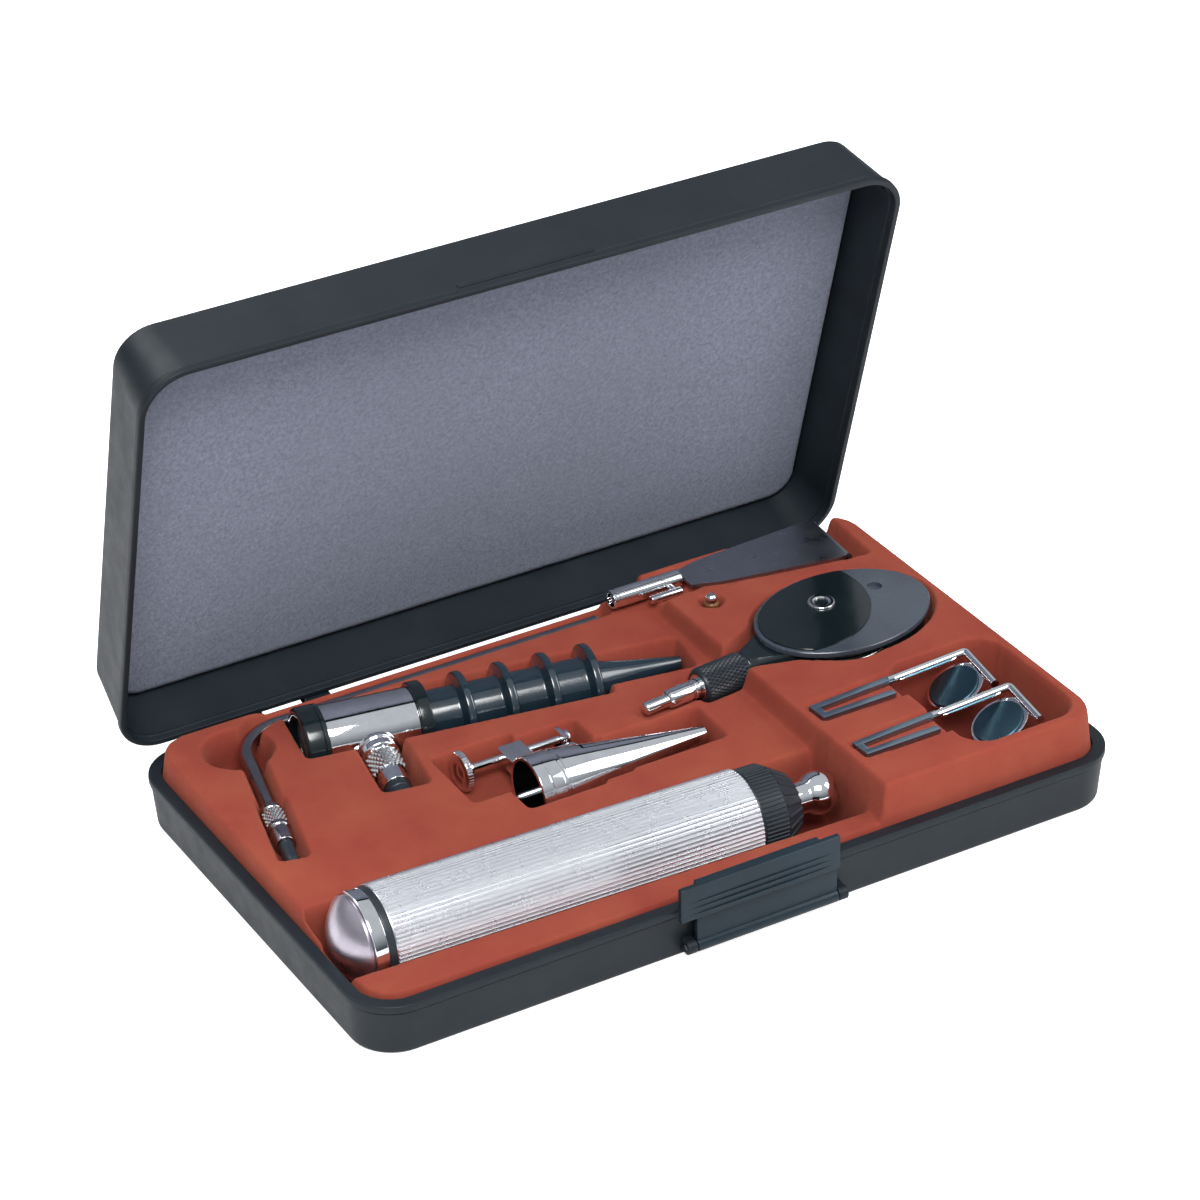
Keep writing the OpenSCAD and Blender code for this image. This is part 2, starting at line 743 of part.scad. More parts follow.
module handle_pocket(g) {
    at_handle() translate([-cap_back - pocket_gap, 0, 0])
        trough(cap_back + nose_end + 2 * pocket_gap + 2, handle_r + pocket_gap, g);
}

module otoscope_pocket(g) {
    back = barrel_len / 2 + bezel_len + pocket_gap;
    at_otoscope() {
        translate([-back, 0, 0]) trough(back + speculum_end + 1, otoscope_r + pocket_gap, g);
        translate([speculum_end, 0, 0]) trough(cone_len + 1, cone_r + 1.5, g);
    }
    at_stem() trough(stem_len + pocket_gap, 6 + pocket_gap, g);
}

// The swept pocket of the tube's bend: a round bottom that is open above the axis
module arm_bend(r, open) {
    translate([arm_tangent, -arm_bend_r, 0]) rotate([0, 0, 90])
        rotate_extrude(angle = arm_turn) {
            translate([arm_bend_r, 0]) circle(r = r);
            if (open) translate([arm_bend_r - r, 0]) square([2 * r, far]);
        }
}

module arm_pocket(g) {
    r = arm_r + pocket_gap;
    fitting_r = arm_fitting_r + pocket_gap;
    at_arm_corner() {
        translate([arm_tangent - 0.6, 0, 0]) trough(arm_long - arm_tangent + 3.6, r, g);
        arm_bend(r + g + 0.05, true);
    }
    at_arm_leg() {
        translate([arm_tangent - 0.6, 0, 0]) trough(arm_end - arm_tangent + 0.6 + pocket_gap, r, g);
        translate([fitting_start - pocket_gap, 0, 0])
            trough(arm_end - fitting_start + 2 * pocket_gap, fitting_r, g);
    }
    at_arm_corner() translate([-5.5, -11.5, -8 - g]) cylinder(r = 9.5 + g, h = far);
}

module nasal_pocket(g) {
    ring_r = nasal_ring_r + pocket_gap;
    at_nasal() {
        translate([-nasal_ring_len / 2 - 5, 0, 0]) trough(nasal_ring_len + 15, ring_r, g);
        translate([funnel_start + 6, 0, 0]) trough(14, 9.4, g);
        translate([funnel_start + 15, 0, 0]) trough(nasal_reach - funnel_start - 13.5, 8.2, g);
        translate([-22 - g, 0, thumb_z - thumb_r - pocket_gap - g])
            cube([24 + 2 * g, thumb_out + thumb_r + 1.2 + g, far]);
        translate([-g, 0, -lug_z - lug_t - pocket_gap - g])
            cube([22 + 2 * g, thumb_out + 4.2 + g, far]);
    }
}

module scope_pocket(g) {
    floor_z = housing_z0 - pocket_gap - g;
    at_scope() {
        translate([0, 0, floor_z]) linear_extrude(height = far)
            polygon(ellipse_points(plate_a + 0.5 + g, plate_b + 0.5 + g));
        translate([wheel_at[0], wheel_at[1], floor_z]) cylinder(r = wheel_r + 1 + g, h = far);
        translate([0, 0, floor_z]) linear_extrude(height = far)
            polygon([
                [-39 - g, -6 - g], [-21, -13.4 - g], [0, -13.4], [0, 13.4],
                [-21, 13.4 + g], [-39 - g, 6 + g],
            ]);
        translate([-55.5, 0, scope_z]) trough(18, stem_collar_r + pocket_gap, g);
        translate([-75.5, 0, scope_z]) trough(22, connector_r + pocket_gap, g);
    }
}

module blade_outline(g) {
    polygon([
        [-g, -blade_root_w / 2 - g], [9, -0.62 * blade_end_w / 2 - g],
        [30, -0.84 * blade_end_w / 2 - g], [blade_len - 5, -blade_end_w / 2 - g],
        [blade_len + g, -blade_end_w / 2 - g + 1], [blade_len + g, blade_end_w / 2 + g - 1],
        [blade_len - 5, blade_end_w / 2 + g], [30, 0.84 * blade_end_w / 2 + g],
        [9, 0.62 * blade_end_w / 2 + g], [-g, blade_root_w / 2 + g],
    ]);
}

module tongue_pocket(g) {
    at_blade() {
        translate([0, 0, -pocket_gap - g]) linear_extrude(height = far)
            blade_outline(pocket_gap + g);
        translate([blade_len - 4 - g, -blade_end_w / 2 - pocket_gap - g, end_floor - blade_z0 - g])
            cube([8 + 2 * g, blade_end_w + 2 * (pocket_gap + g), far]);
    }
    translate([tongue_x - 1, tongue_y, tongue_z])
        trough(clip_tube_len + 2, clip_tube_r + pocket_gap, g);
    translate([tongue_x + 8, tongue_y - 10 - g, tongue_z - 1.5 - pocket_gap - g])
        cube([clip_tube_len - 7, 10 + g, far]);
}

module lamp_pocket(g) {
    translate([lamp_x, lamp_y, lamp_z0 - pocket_gap - g]) cylinder(r = lamp_r + pocket_gap + g, h = far);
}

module mirror_pocket(g) {
    for (i = [0, 1])
        at_mirror(i) translate([0, 0, prong_z0 - pocket_gap - g]) linear_extrude(height = far)
            polygon([
                [-0.6 - g, prong_w / 2 + 0.6 + g], [clip_len + 6, prong_w / 2 + 0.8 + g],
                [clip_len + 6, -prong_pitch - 4 - g], [clip_len - 4, -prong_pitch - 4.4 - g],
                [-0.6 - g, -prong_pitch - prong_w / 2 - 0.9 - g],
            ]);
    for (i = [0, 1])
        at_mirror(i) translate([clip_len, 0, rod_z]) trough(rod_len + 2, rod_r + 0.6, g);
    translate([mirror_x + 47.5, mirror_y - 17.5, tray_z0 + tray_t + 5 - g])
        rounded_slab(36 + 2 * g, 47.5 + 2 * g, 8 + g, far);
}

module tray_pockets(g) {
    handle_pocket(g);
    otoscope_pocket(g);
    arm_pocket(g);
    nasal_pocket(g);
    scope_pocket(g);
    tongue_pocket(g);
    lamp_pocket(g);
    mirror_pocket(g);
}

module tray_form(g) {
    difference() {
        tray_levels(g);
        tray_pockets(g);
    }
}

module tray_insert() {
    color([0.70, 0.33, 0.25])
    difference() {
        tray_form(0);
        tray_form(tray_t);
    }
}

// Battery handle

module handle_sleeve() {
    color([0.82, 0.83, 0.86])
    at_handle() tube_x(handle_r, sleeve_bore_r, sleeve_len);
}

module handle_seal_ring() {
    color([0.06, 0.06, 0.07])
    at_handle() translate([-seal_t, 0, 0]) tube_x(handle_r - 0.3, sleeve_bore_r, seal_t - 0.02);
}

module handle_end_cap() {
    band_r = handle_r - 0.1;
    ball_r = (band_r * band_r + cap_dome * cap_dome) / (2 * cap_dome);
    color([0.80, 0.74, 0.72])
    at_handle() {
        translate([-seal_t - cap_band - 0.02, 0, 0]) rod_x(band_r, cap_band);
        translate([-seal_t - 0.1, 0, 0]) rod_x(sleeve_bore_r - run, seal_t + 4);
        intersection() {
            translate([-cap_back + ball_r - 0.02, 0, 0]) rotate([0, 90, 0]) sphere(r = ball_r);
            translate([-cap_back - 1, 0, 0]) rod_x(band_r, cap_dome + 1.1);
        }
    }
}

module battery(start) {
    at_handle() {
        translate([start, 0, 0]) rod_x(cell_r, cell_len);
        translate([start + cell_len - 0.1, 0, 0]) rod_x(3, button_h + 0.1);
    }
}

module battery_rear() {
    color([0.45, 0.36, 0.16]) battery(cell_start);
}

module battery_front() {
    color([0.45, 0.36, 0.16]) battery(cell_start + cell_len + button_h + 0.05);
}

// One turn of wire after another, closed with flat ends
module coil(turns, r, wire, pitch, n = 20, m = 8) {
    last = turns * n;
    points = [for (i = [0:last], j = [0:m - 1])
        let (a = 360 * i / n, b = 360 * j / m, q = r + wire * cos(b))
        [pitch * i / n + wire * sin(b), q * cos(a), q * sin(a)]];
    sides = [for (i = [0:last - 1], j = [0:m - 1])
        let (k = (j + 1) % m)
        [i * m + j, (i + 1) * m + j, (i + 1) * m + k, i * m + k]];
    first = [for (j = [0:m - 1]) j];
    end = [for (j = [0:m - 1]) last * m + m - 1 - j];
    polyhedron(points = points, faces = concat(sides, [first, end]), convexity = 10);
}

module battery_spring() {
    wire = 0.5;
    span = cell_start - 4 - 2 * wire - 0.1;
    color([0.7, 0.7, 0.72])
    at_handle() translate([4 + wire + 0.05, 0, 0]) coil(3, 7, wire, span / 3);
}

module switch_collar() {
    wide = handle_r - 0.7;
    color([0.07, 0.09, 0.11])
    at_handle() translate([collar_s, 0, 0])
        rotate([0, 90, 0]) rotate_extrude()
            polygon([
                [stalk_r + run, 0], [wide - 0.4, 0], [wide, 0.4], [wide, collar_len],
                [8.6, collar_len + collar_taper], [stalk_r + run, collar_len + collar_taper],
            ]);
}

module handle_socket() {
    color([0.86, 0.86, 0.87])
    at_handle()
    difference() {
        union() {
            translate([plug_s, 0, 0]) rod_x(sleeve_bore_r - fit, sleeve_len - plug_s);
            translate([sleeve_len - 0.1, 0, 0]) rod_x(stalk_r, collar_end - sleeve_len + 0.1);
            translate([collar_end - 0.1, 0, 0]) rod_x(4.8, neck_len + 2);
            intersection() {
                translate([ball_s, 0, 0]) rotate([0, 90, 0]) sphere(r = nose_r);
                translate([nose_s, 0, 0]) rod_x(nose_r + 1, nose_end - nose_s);
            }
        }
        translate([bore_start, 0, 0]) rod_x(socket_bore_r, socket_depth + 1);
        translate([plug_s - 1, 0, 0]) rod_x(bush_r + fit, bore_start - plug_s + 2);
        translate([nose_end, 0, 0]) rotate([56, 0, 0]) cylinder(r = 2.3, h = 12);
    }
}

module contact_bush() {
    color([0.85, 0.83, 0.76])
    at_handle() translate([plug_s + 0.3, 0, 0]) tube_x(bush_r, 1.2 + fit, bore_start - plug_s - 0.3);
}

module contact_pin() {
    color([0.78, 0.62, 0.25])
    at_handle() translate([plug_s - 0.05, 0, 0]) rod_x(1.2, bore_start - plug_s);
}

// Otoscope

module otoscope_barrel() {
    color([0.86, 0.87, 0.88])
    at_otoscope() translate([-barrel_len / 2, 0, 0]) tube_x(barrel_r, barrel_r - barrel_wall, barrel_len);
}

module otoscope_bezel() {
    color([0.05, 0.06, 0.06])
    at_otoscope() translate([-barrel_len / 2 - bezel_len, 0, 0])
    difference() {
        union() {
            rod_x(bezel_r, bezel_len - 0.02);
            rod_x(barrel_r - barrel_wall - fit, bezel_len + 2.5);
        }
        translate([-1, 0, 0]) rod_x(bezel_r - 3.2, 4.5);
        translate([1, 0, 0]) rod_x(bezel_r - 4.2, bezel_len + 3);
    }
}

module magnifier_lens() {
    color([0.75, 0.82, 0.85])
    at_otoscope() translate([-barrel_len / 2 - bezel_len + 1.05, 0, 0]) rod_x(bezel_r - 3.2 - fit, 2.4);
}

module otoscope_front_ring() {
    color([0.05, 0.06, 0.06])
    at_otoscope() translate([barrel_len / 2 + 0.02, 0, 0])
        tube_x(front_ring_r, nose_base_r + fit, front_ring_len - 0.04);
}

module otoscope_nose() {
    base_s = -2.5;
    tip_s = front_ring_len + skirt_len + 22;
    color([0.08, 0.09, 0.1])
    at_otoscope() translate([barrel_len / 2, 0, 0])
    difference() {
        union() {
            translate([base_s, 0, 0]) rod_x(barrel_r - barrel_wall - fit, -base_s);
            rod_x(nose_base_r, front_ring_len + skirt_len - 3);
            translate([front_ring_len + skirt_len - 3.1, 0, 0])
                rod_x(cone_bore_r - 0.7, tip_s - front_ring_len - skirt_len + 3.1, tip_bore_r + 0.2);
        }
        translate([base_s - 1, 0, 0]) rod_x(nose_base_r - 2, 12);
        translate([base_s, 0, 0]) rod_x(0.8, tip_s + 5);
    }
}

module otoscope_stem() {
    color([0.84, 0.85, 0.86])
    difference() {
        at_stem() {
            translate([stem_start, 0, 0]) rod_x(6, 14 - stem_start);
            translate([13.9, 0, 0]) rod_x(5, 8.2);
            translate([22, 0, 0]) rod_x(4.4, 6);
        }
        at_otoscope() rotate([0, 90, 0]) cylinder(r = barrel_r + 0.02, h = 60, center = true);
        at_stem() translate([25, 0, 0]) rod_x(2.4 + fit, 4);
    }
}

module otoscope_contact() {
    color([0.05, 0.05, 0.06])
    at_stem() {
        translate([25.2, 0, 0]) rod_x(2.4, 3.2);
        translate([28.02, 0, 0]) rod_x(4, stem_len - 30.1);
        translate([stem_len - 2.2, 0, 0]) rod_x(4, 2.2, 3.2);
    }
}

module ear_speculum(k) {
    inner_r = skirt_r - speculum_wall;
    color([0.05, 0.10, 0.13])
    at_otoscope() translate([speculum_start + k * speculum_pitch, 0, 0])
        rotate([0, 90, 0]) rotate_extrude()
            polygon([
                [inner_r, -skirt_len + 0.02], [skirt_r, -skirt_len + 0.02], [skirt_r, 0],
                [flange_r - 0.4, 0], [flange_r, 0.4], [flange_r, flange_t - 0.4],
                [flange_r - 0.4, flange_t - 0.02], [cone_r, flange_t - 0.02],
                [tip_r, flange_t + cone_len], [tip_bore_r, flange_t + cone_len],
                [cone_bore_r, flange_t - 1], [cone_bore_r, 1], [inner_r, -1.4],
            ]);
}

module ear_speculum_1() { ear_speculum(0); }
module ear_speculum_2() { ear_speculum(1); }
module ear_speculum_3() { ear_speculum(2); }
module ear_speculum_4() { ear_speculum(3); }

// Bent arm lamp

module arm_tube() {
    color([0.72, 0.73, 0.75])
    difference() {
        union() {
            at_arm_corner() {
                translate([arm_tangent - 0.4, 0, 0]) rod_x(arm_r, arm_long - arm_tangent + 0.4);
                arm_bend(arm_r + 0.03, false);
            }
            at_arm_leg() translate([arm_tangent - 0.4, 0, 0])
                rod_x(arm_r, arm_short - arm_tangent + 0.4);
        }
        at_arm_corner() translate([arm_long - 4, 0, 0]) rod_x(1.6, 5);
    }
}

module arm_fitting() {
    color([0.80, 0.80, 0.82])
    at_arm_leg() translate([fitting_start, 0, 0])
    difference() {
        rod_x(arm_fitting_r, arm_fitting_len);
        translate([-1, 0, 0]) rod_x(arm_r + fit, 4.05);
        translate([arm_fitting_len - 3, 0, 0]) rod_x(1.5 + fit, 4);
    }
}

module arm_contact() {
    start = fitting_start + arm_fitting_len;
    color([0.05, 0.05, 0.06])
    at_arm_leg() {
        translate([start - 2.9, 0, 0]) rod_x(1.5, 3);
        translate([start + 0.02, 0, 0]) rod_x(2.2, arm_tip_len - 1.5);
        translate([start + arm_tip_len - 1.5, 0, 0]) rod_x(2.2, 1.5, 1.6);
    }
}

module arm_lamp() {
    color([0.9, 0.9, 0.85])
    at_arm_corner() translate([arm_long, 0, 0]) {
        translate([-3.8, 0, 0]) rod_x(1.6 - fit, 4);
        translate([0.05, 0, 0]) rotate([0, 90, 0]) rotate_extrude() intersection() {
            circle(r = 2);
            square([3, 3]);
        }
    }
}

// Nasal speculum

module funnel() {
    rotate([0, 90, 0]) rotate_extrude()
        polygon([
            [nasal_ring_r - nasal_wall, -nasal_ring_len / 2], [nasal_ring_r, -nasal_ring_len / 2],
            [nasal_ring_r, funnel_start - 1], [nasal_ring_r - 0.7, funnel_start - 1],
            [nasal_ring_r - 0.7, funnel_start], [funnel_wide, funnel_start],
            [nasal_tip_r, nasal_reach], [nasal_tip_r - nasal_wall, nasal_reach],
            [funnel_wide - nasal_wall, funnel_start],
        ]);
}

module pivot_hole(r) {
    translate([pivot_s, pivot_y, 0]) cylinder(r = r, h = 20, center = true);
}

module nasal_body() {
    split_s = pivot_s - 2;
    color([0.85, 0.86, 0.88])
    at_nasal()
    difference() {
        union() {
            difference() {
                funnel();
                translate([split_s, -nasal_split / 2, -20]) cube([nasal_reach, 40, 40]);
            }
            for (z = [lug_z, -lug_z - lug_t]) translate([0, 0, z]) {
                translate([funnel_start + 1, pivot_y - 1.1, 0])
                    cube([pivot_s - funnel_start - 1, 2.9, lug_t]);
                translate([pivot_s, pivot_y, 0]) cylinder(r = lug_r, h = lug_t);
            }
            translate([-4, nasal_ring_r - 0.6, thumb_z - 2.6])
                cube([8, thumb_out - nasal_ring_r + 3.2, 5.2]);
        }
        pivot_hole(0.8 + 0.02);
        translate([-6, thumb_out, thumb_z]) rod_x(1.2 + run, 12);
    }
}

module nasal_blade() {
    split_s = pivot_s - 2;
    color([0.80, 0.82, 0.85])
    at_nasal()
    difference() {
        union() {
            intersection() {
                funnel();
                translate([split_s + 0.3, nasal_split / 2, -20]) cube([nasal_reach, 40, 40]);
            }
            translate([pivot_s, pivot_y, -2]) cylinder(r = 1.8, h = 4);
            translate([pivot_s - 0.8, pivot_y - 2, -2]) cube([3, 2, 4]);
            translate([pivot_s - 0.8, pivot_y, -2]) cube([1.6, thumb_out - pivot_y + 2.6, 4]);
            translate([pivot_s - 0.8, thumb_out - 3.6, -2]) cube([1.6, 6.2, 6.6]);
        }
        pivot_hole(0.8 + run);
        translate([pivot_s - 3, thumb_out, thumb_z]) rod_x(1.2 + 0.6, 6);
    }
}

module nasal_pivot_pin() {
    color([0.7, 0.7, 0.72])
    at_nasal() translate([pivot_s, pivot_y, -lug_z - lug_t]) cylinder(r = 0.8, h = 2 * (lug_z + lug_t));
}

module nasal_thumbscrew() {
    nut_s = pivot_s + 1.2;
    color([0.84, 0.85, 0.87])
    at_nasal() translate([0, thumb_out, thumb_z]) {
        translate([-18, 0, 0]) rod_x(thumb_r, 2);
        translate([-16.1, 0, 0]) rod_x(2.4, 2.1);
        translate([-14.1, 0, 0]) rod_x(1.2, nut_s + 14.2);
        translate([nut_s, 0, 0]) rod_x(2.2, 1.2);
    }
}

// Ophthalmoscope

module ophthalmoscope_housing() {
    color([0.05, 0.09, 0.11])
    at_scope()
    difference() {
        union() {
            translate([0, 0, housing_z0]) linear_extrude(height = housing_t - 0.02)
                polygon(ellipse_points(plate_a - plate_lip, plate_b - plate_lip));
            intersection() {
                translate([-38, 0, scope_z]) rod_x(5.4, 20, 13.4);
                translate([-40, -20, housing_z0]) cube([25, 40, housing_t - 0.02]);
            }
            translate([-55, 0, scope_z]) rod_x(4, 18);
        }
        translate([wheel_at[0], wheel_at[1], wheel_z0 - wheel_gap])
            cylinder(r = wheel_r + wheel_gap, h = wheel_t + 2 * wheel_gap);
        translate([wheel_at[0], wheel_at[1], housing_z0 + 2]) cylinder(r = 1.4 + 0.02, h = housing_t);
        translate([sight_at[0], sight_at[1], housing_z0 - 1]) cylinder(r = sight_r, h = housing_t + 2);
    }
}

module ophthalmoscope_plate() {
    color([0.33, 0.36, 0.41])
    at_scope()
    difference() {
        translate([0, 0, plate_z0]) linear_extrude(height = plate_t)
            polygon(ellipse_points(plate_a, plate_b));
        translate([sight_at[0], sight_at[1], plate_z0 - 1]) cylinder(r = 2.9 + fit, h = plate_t + 2);
        translate([16.7, 4.9, plate_z0 + 0.5]) cylinder(r = 1.6, h = plate_t);
    }
}

module viewing_disc() {
    color([0.06, 0.07, 0.07])
    at_scope() translate([0, 0, plate_top + 0.02])
    difference() {
        intersection() {
            linear_extrude(height = disc_t) polygon(ellipse_points(plate_a - 1.2, plate_b - 1.2));
            translate([-13.3, 12.9, 0]) cylinder(r = 31, h = disc_t);
        }
        translate([sight_at[0], sight_at[1], -1]) cylinder(r = 2.9 + fit, h = 3);
    }
}

module viewing_eyelet() {
    top = plate_top + disc_t + 0.02;
    color([0.88, 0.88, 0.9])
    at_scope() translate([sight_at[0], sight_at[1], 0])
    difference() {
        union() {
            translate([0, 0, plate_z0 + 0.05]) cylinder(r = 2.9, h = top - plate_z0);
            translate([0, 0, top]) cylinder(r = 3.6, h = eyelet_t - 0.02);
        }
        translate([0, 0, plate_z0 - 1]) cylinder(r = sight_r, h = 10);
    }
}

module lens_wheel() {
    lenses = 16;
    reach = norm(sight_at - wheel_at);
    start = atan2(sight_at[1] - wheel_at[1], sight_at[0] - wheel_at[0]);
    color([0.75, 0.76, 0.79])
    at_scope() translate([wheel_at[0], wheel_at[1], wheel_z0])
    difference() {
        cylinder(r = wheel_r, h = wheel_t);
        translate([0, 0, -1]) cylinder(r = 1.4 + run, h = wheel_t + 2);
        for (i = [0:lenses - 1])
            rotate([0, 0, start + 360 * i / lenses]) translate([reach, 0, -1])
                cylinder(r = 1.8, h = wheel_t + 2, $fn = 24);
    }
}

module wheel_axle() {
    color([0.7, 0.7, 0.72])
    at_scope() translate([wheel_at[0], wheel_at[1], housing_z0 + 2.05])
        cylinder(r = 1.4, h = housing_t - 2.15);
}

module stem_collar() {
    color([0.05, 0.06, 0.07])
    at_scope() translate([-55, 0, scope_z]) tube_x(stem_collar_r, 4 + fit, 16.9);
}

module ophthalmoscope_connector() {
    color([0.86, 0.87, 0.88])
    at_scope() translate([0, 0, scope_z]) {
        translate([-66.5, 0, 0]) rod_x(connector_r, 11.48);
        translate([-75, 0, 0]) rod_x(connector_tip_r, 8.6);
    }
}

// Tongue depressor

module tongue_blade() {
    lip_r = 2;
    color([0.20, 0.23, 0.25])
    at_blade() {
        linear_extrude(height = blade_t) intersection() {
            blade_outline(0);
            translate([-1, -50]) square([blade_len - lip_r + 1, 100]);
        }
        translate([blade_len - lip_r, 0, blade_t - lip_r - 0.01]) rotate([90, 0, 0])
            linear_extrude(height = blade_end_w - 2, center = true) {
                intersection() {
                    difference() {
                        circle(r = lip_r);
                        circle(r = lip_r - blade_t);
                    }
                    square([lip_r, lip_r]);
                }
                translate([lip_r - blade_t, lip_r - blade_lip]) square([blade_t, blade_lip - lip_r + 0.01]);
            }
    }
}

module tongue_clip_tube() {
    color([0.80, 0.83, 0.86])
    translate([tongue_x, tongue_y, tongue_z])
    difference() {
        rod_x(clip_tube_r, clip_tube_len - 0.02);
        translate([-1, 0, 0]) rod_x(clip_tube_r - 0.9, 2.5);
    }
}

module tongue_clip_screw() {
    color([0.88, 0.89, 0.9])
    difference() {
        translate([tongue_x + 10.5, tongue_y - clip_tube_r - 3.4, tongue_z - 0.2]) {
            rod_x(1.3, 11);
            translate([9, 0, 0]) rotate([-90, 0, 0]) cylinder(r = 1, h = 3.4 + 0.6);
        }
        translate([tongue_x, tongue_y, tongue_z]) rod_x(clip_tube_r + 0.01, clip_tube_len);
    }
}

// Spare lamp and mirrors

module spare_lamp_body() {
    color([0.42, 0.26, 0.14])
    translate([lamp_x, lamp_y, lamp_z0]) cylinder(r = lamp_r, h = lamp_len - 0.02);
}

module spare_lamp_cap() {
    color([0.84, 0.85, 0.86])
    translate([lamp_x, lamp_y, lamp_z0 + lamp_len]) cylinder(r = lamp_cap_r, h = cap_len);
}

module mirror_clip(i) {
    short_len = clip_len - 4.5;
    color([0.38, 0.43, 0.50])
    at_mirror(i) translate([0, 0, prong_z0]) {
        translate([0, -prong_w / 2, 0]) cube([clip_len, prong_w, prong_t]);
        translate([0, -prong_pitch, 0]) rotate([0, 0, -mirror_turn])
            translate([0, -prong_w / 2, 0]) cube([short_len, prong_w, prong_t]);
        translate([0, -prong_pitch - prong_w / 2, 0]) cube([2.4, prong_pitch + prong_w, prong_t]);
    }
}

module mirror_clip_rear() { mirror_clip(0); }
module mirror_clip_front() { mirror_clip(1); }

module mirror_rod(i) {
    color([0.88, 0.88, 0.9]) {
        at_mirror(i) translate([clip_len + 0.02, 0, rod_z]) {
            rod_x(rod_r, rod_len - 0.02);
            translate([rod_len, 0, 0]) sphere(r = rod_r + 0.1);
        }
        at_mirror_foot(i) {
            rotate([90, 0, 0]) cylinder(r = rod_r, h = rod_foot, center = true);
            rotate([0, -mirror_dip, 0]) translate([-mirror_r, 0, -0.8]) cylinder(r = mirror_r, h = 0.8);
        }
    }
}

module mirror_rod_rear() { mirror_rod(0); }
module mirror_rod_front() { mirror_rod(1); }

module mirror_glass(i) {
    color([0.06, 0.20, 0.25])
    at_mirror_foot(i) rotate([0, -mirror_dip, 0])
        translate([-mirror_r - 0.4, 0, 0.02]) cylinder(r = mirror_r - 1.2, h = 0.5);
}

module mirror_glass_rear() { mirror_glass(0); }
module mirror_glass_front() { mirror_glass(1); }

base_shell();
lid_shell();
hinge_pins();
latch();
latch_pin();
tray_insert();
lid_foam();
handle_sleeve();
handle_seal_ring();
handle_end_cap();
battery_rear();
battery_front();
battery_spring();
switch_collar();
handle_socket();
contact_bush();
contact_pin();
otoscope_barrel();
otoscope_bezel();
magnifier_lens();
otoscope_front_ring();
otoscope_nose();
otoscope_stem();
otoscope_contact();
ear_speculum_1();
ear_speculum_2();
ear_speculum_3();
ear_speculum_4();
arm_tube();
arm_fitting();
arm_contact();
arm_lamp();
nasal_body();
nasal_blade();
nasal_pivot_pin();
nasal_thumbscrew();
ophthalmoscope_housing();
ophthalmoscope_plate();
viewing_disc();
viewing_eyelet();
lens_wheel();
wheel_axle();
stem_collar();
ophthalmoscope_connector();
tongue_blade();
tongue_clip_tube();
tongue_clip_screw();
spare_lamp_body();
spare_lamp_cap();
mirror_clip_rear();
mirror_rod_rear();
mirror_glass_rear();
mirror_clip_front();
mirror_rod_front();
mirror_glass_front();
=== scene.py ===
"""Looks for a hard plastic carry case that holds an otoscope set in a flocked tray.

Local shapes are written in millimetres and placed by a matrix; every finished mesh is in metres.
"""

import math
from types import SimpleNamespace

import bmesh
import bpy
import numpy as np
from bpy.props import FloatProperty, FloatVectorProperty, IntProperty, PointerProperty
from mathutils import Matrix, Vector
from mathutils.bvhtree import BVHTree


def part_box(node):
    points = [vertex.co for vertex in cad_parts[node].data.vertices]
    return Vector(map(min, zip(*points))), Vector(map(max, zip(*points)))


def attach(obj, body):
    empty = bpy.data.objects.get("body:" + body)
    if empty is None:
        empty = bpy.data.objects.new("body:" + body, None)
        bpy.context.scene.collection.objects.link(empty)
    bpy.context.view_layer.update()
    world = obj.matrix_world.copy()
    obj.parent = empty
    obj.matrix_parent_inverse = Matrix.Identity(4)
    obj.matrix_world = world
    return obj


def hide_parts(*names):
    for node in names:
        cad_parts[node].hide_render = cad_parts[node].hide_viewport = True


bl_info = {
    "name": "Otoscope carry case",
    "version": (1, 0, 0),
    "blender": (4, 5, 0),
    "location": "View3D > Sidebar > Carry case",
    "description": "Builds the case, its flocked tray and the instruments around the packed frame",
    "category": "Add Mesh",
}

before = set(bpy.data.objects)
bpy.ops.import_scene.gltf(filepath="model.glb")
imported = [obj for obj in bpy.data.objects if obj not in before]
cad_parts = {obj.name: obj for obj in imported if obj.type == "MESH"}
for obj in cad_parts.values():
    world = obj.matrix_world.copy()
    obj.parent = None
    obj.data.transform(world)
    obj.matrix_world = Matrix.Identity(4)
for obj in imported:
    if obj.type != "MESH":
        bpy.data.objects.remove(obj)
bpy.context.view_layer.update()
MM = 0.001


# Sizes and colours.


def length(label, about, mm, low=0.0, high=400.0):
    return FloatProperty(name=label, description=about, default=mm * MM, min=low * MM,
                         max=high * MM, unit="LENGTH", precision=5)


def angle(label, about, degrees):
    return FloatProperty(name=label, description=about, default=math.radians(degrees),
                         min=-math.pi, max=math.pi, subtype="ANGLE")


def amount(label, about, value):
    return FloatProperty(name=label, description=about, default=value, min=0.0, max=1.0,
                         subtype="FACTOR")


def tint(label, about, rgb):
    return FloatVectorProperty(name=label, description=about, default=rgb, size=3, min=0.0,
                               max=1.0, subtype="COLOR")


def number(label, about, value):
    return IntProperty(name=label, description=about, default=value, min=1, max=400)


class CaseLook(bpy.types.PropertyGroup):
    """Sizes and colours of the two shells and the latch"""

    width: length("Width", "Width of the rims along the front", 250)
    depth: length("Depth", "Depth of the rims from front to back", 150)
    corner: length("Corner radius", "Radius of the rims seen from above", 15)
    rim: length("Rim height", "Height of the base's rim above the table", 17)
    lid: length("Lid height", "Height of the lid above the rim when shut", 25)
    lid_open: angle("Lid angle", "Angle from shut to the open pose", 74)
    shell: tint("Shell colour", "Colour of the moulded shells", (0.0087, 0.0134, 0.0176))
    latch: tint("Latch colour", "Colour of the latch", (0.0085, 0.0185, 0.027))
    gloss: amount("Shell roughness", "Roughness of the moulded plastic", 0.44)


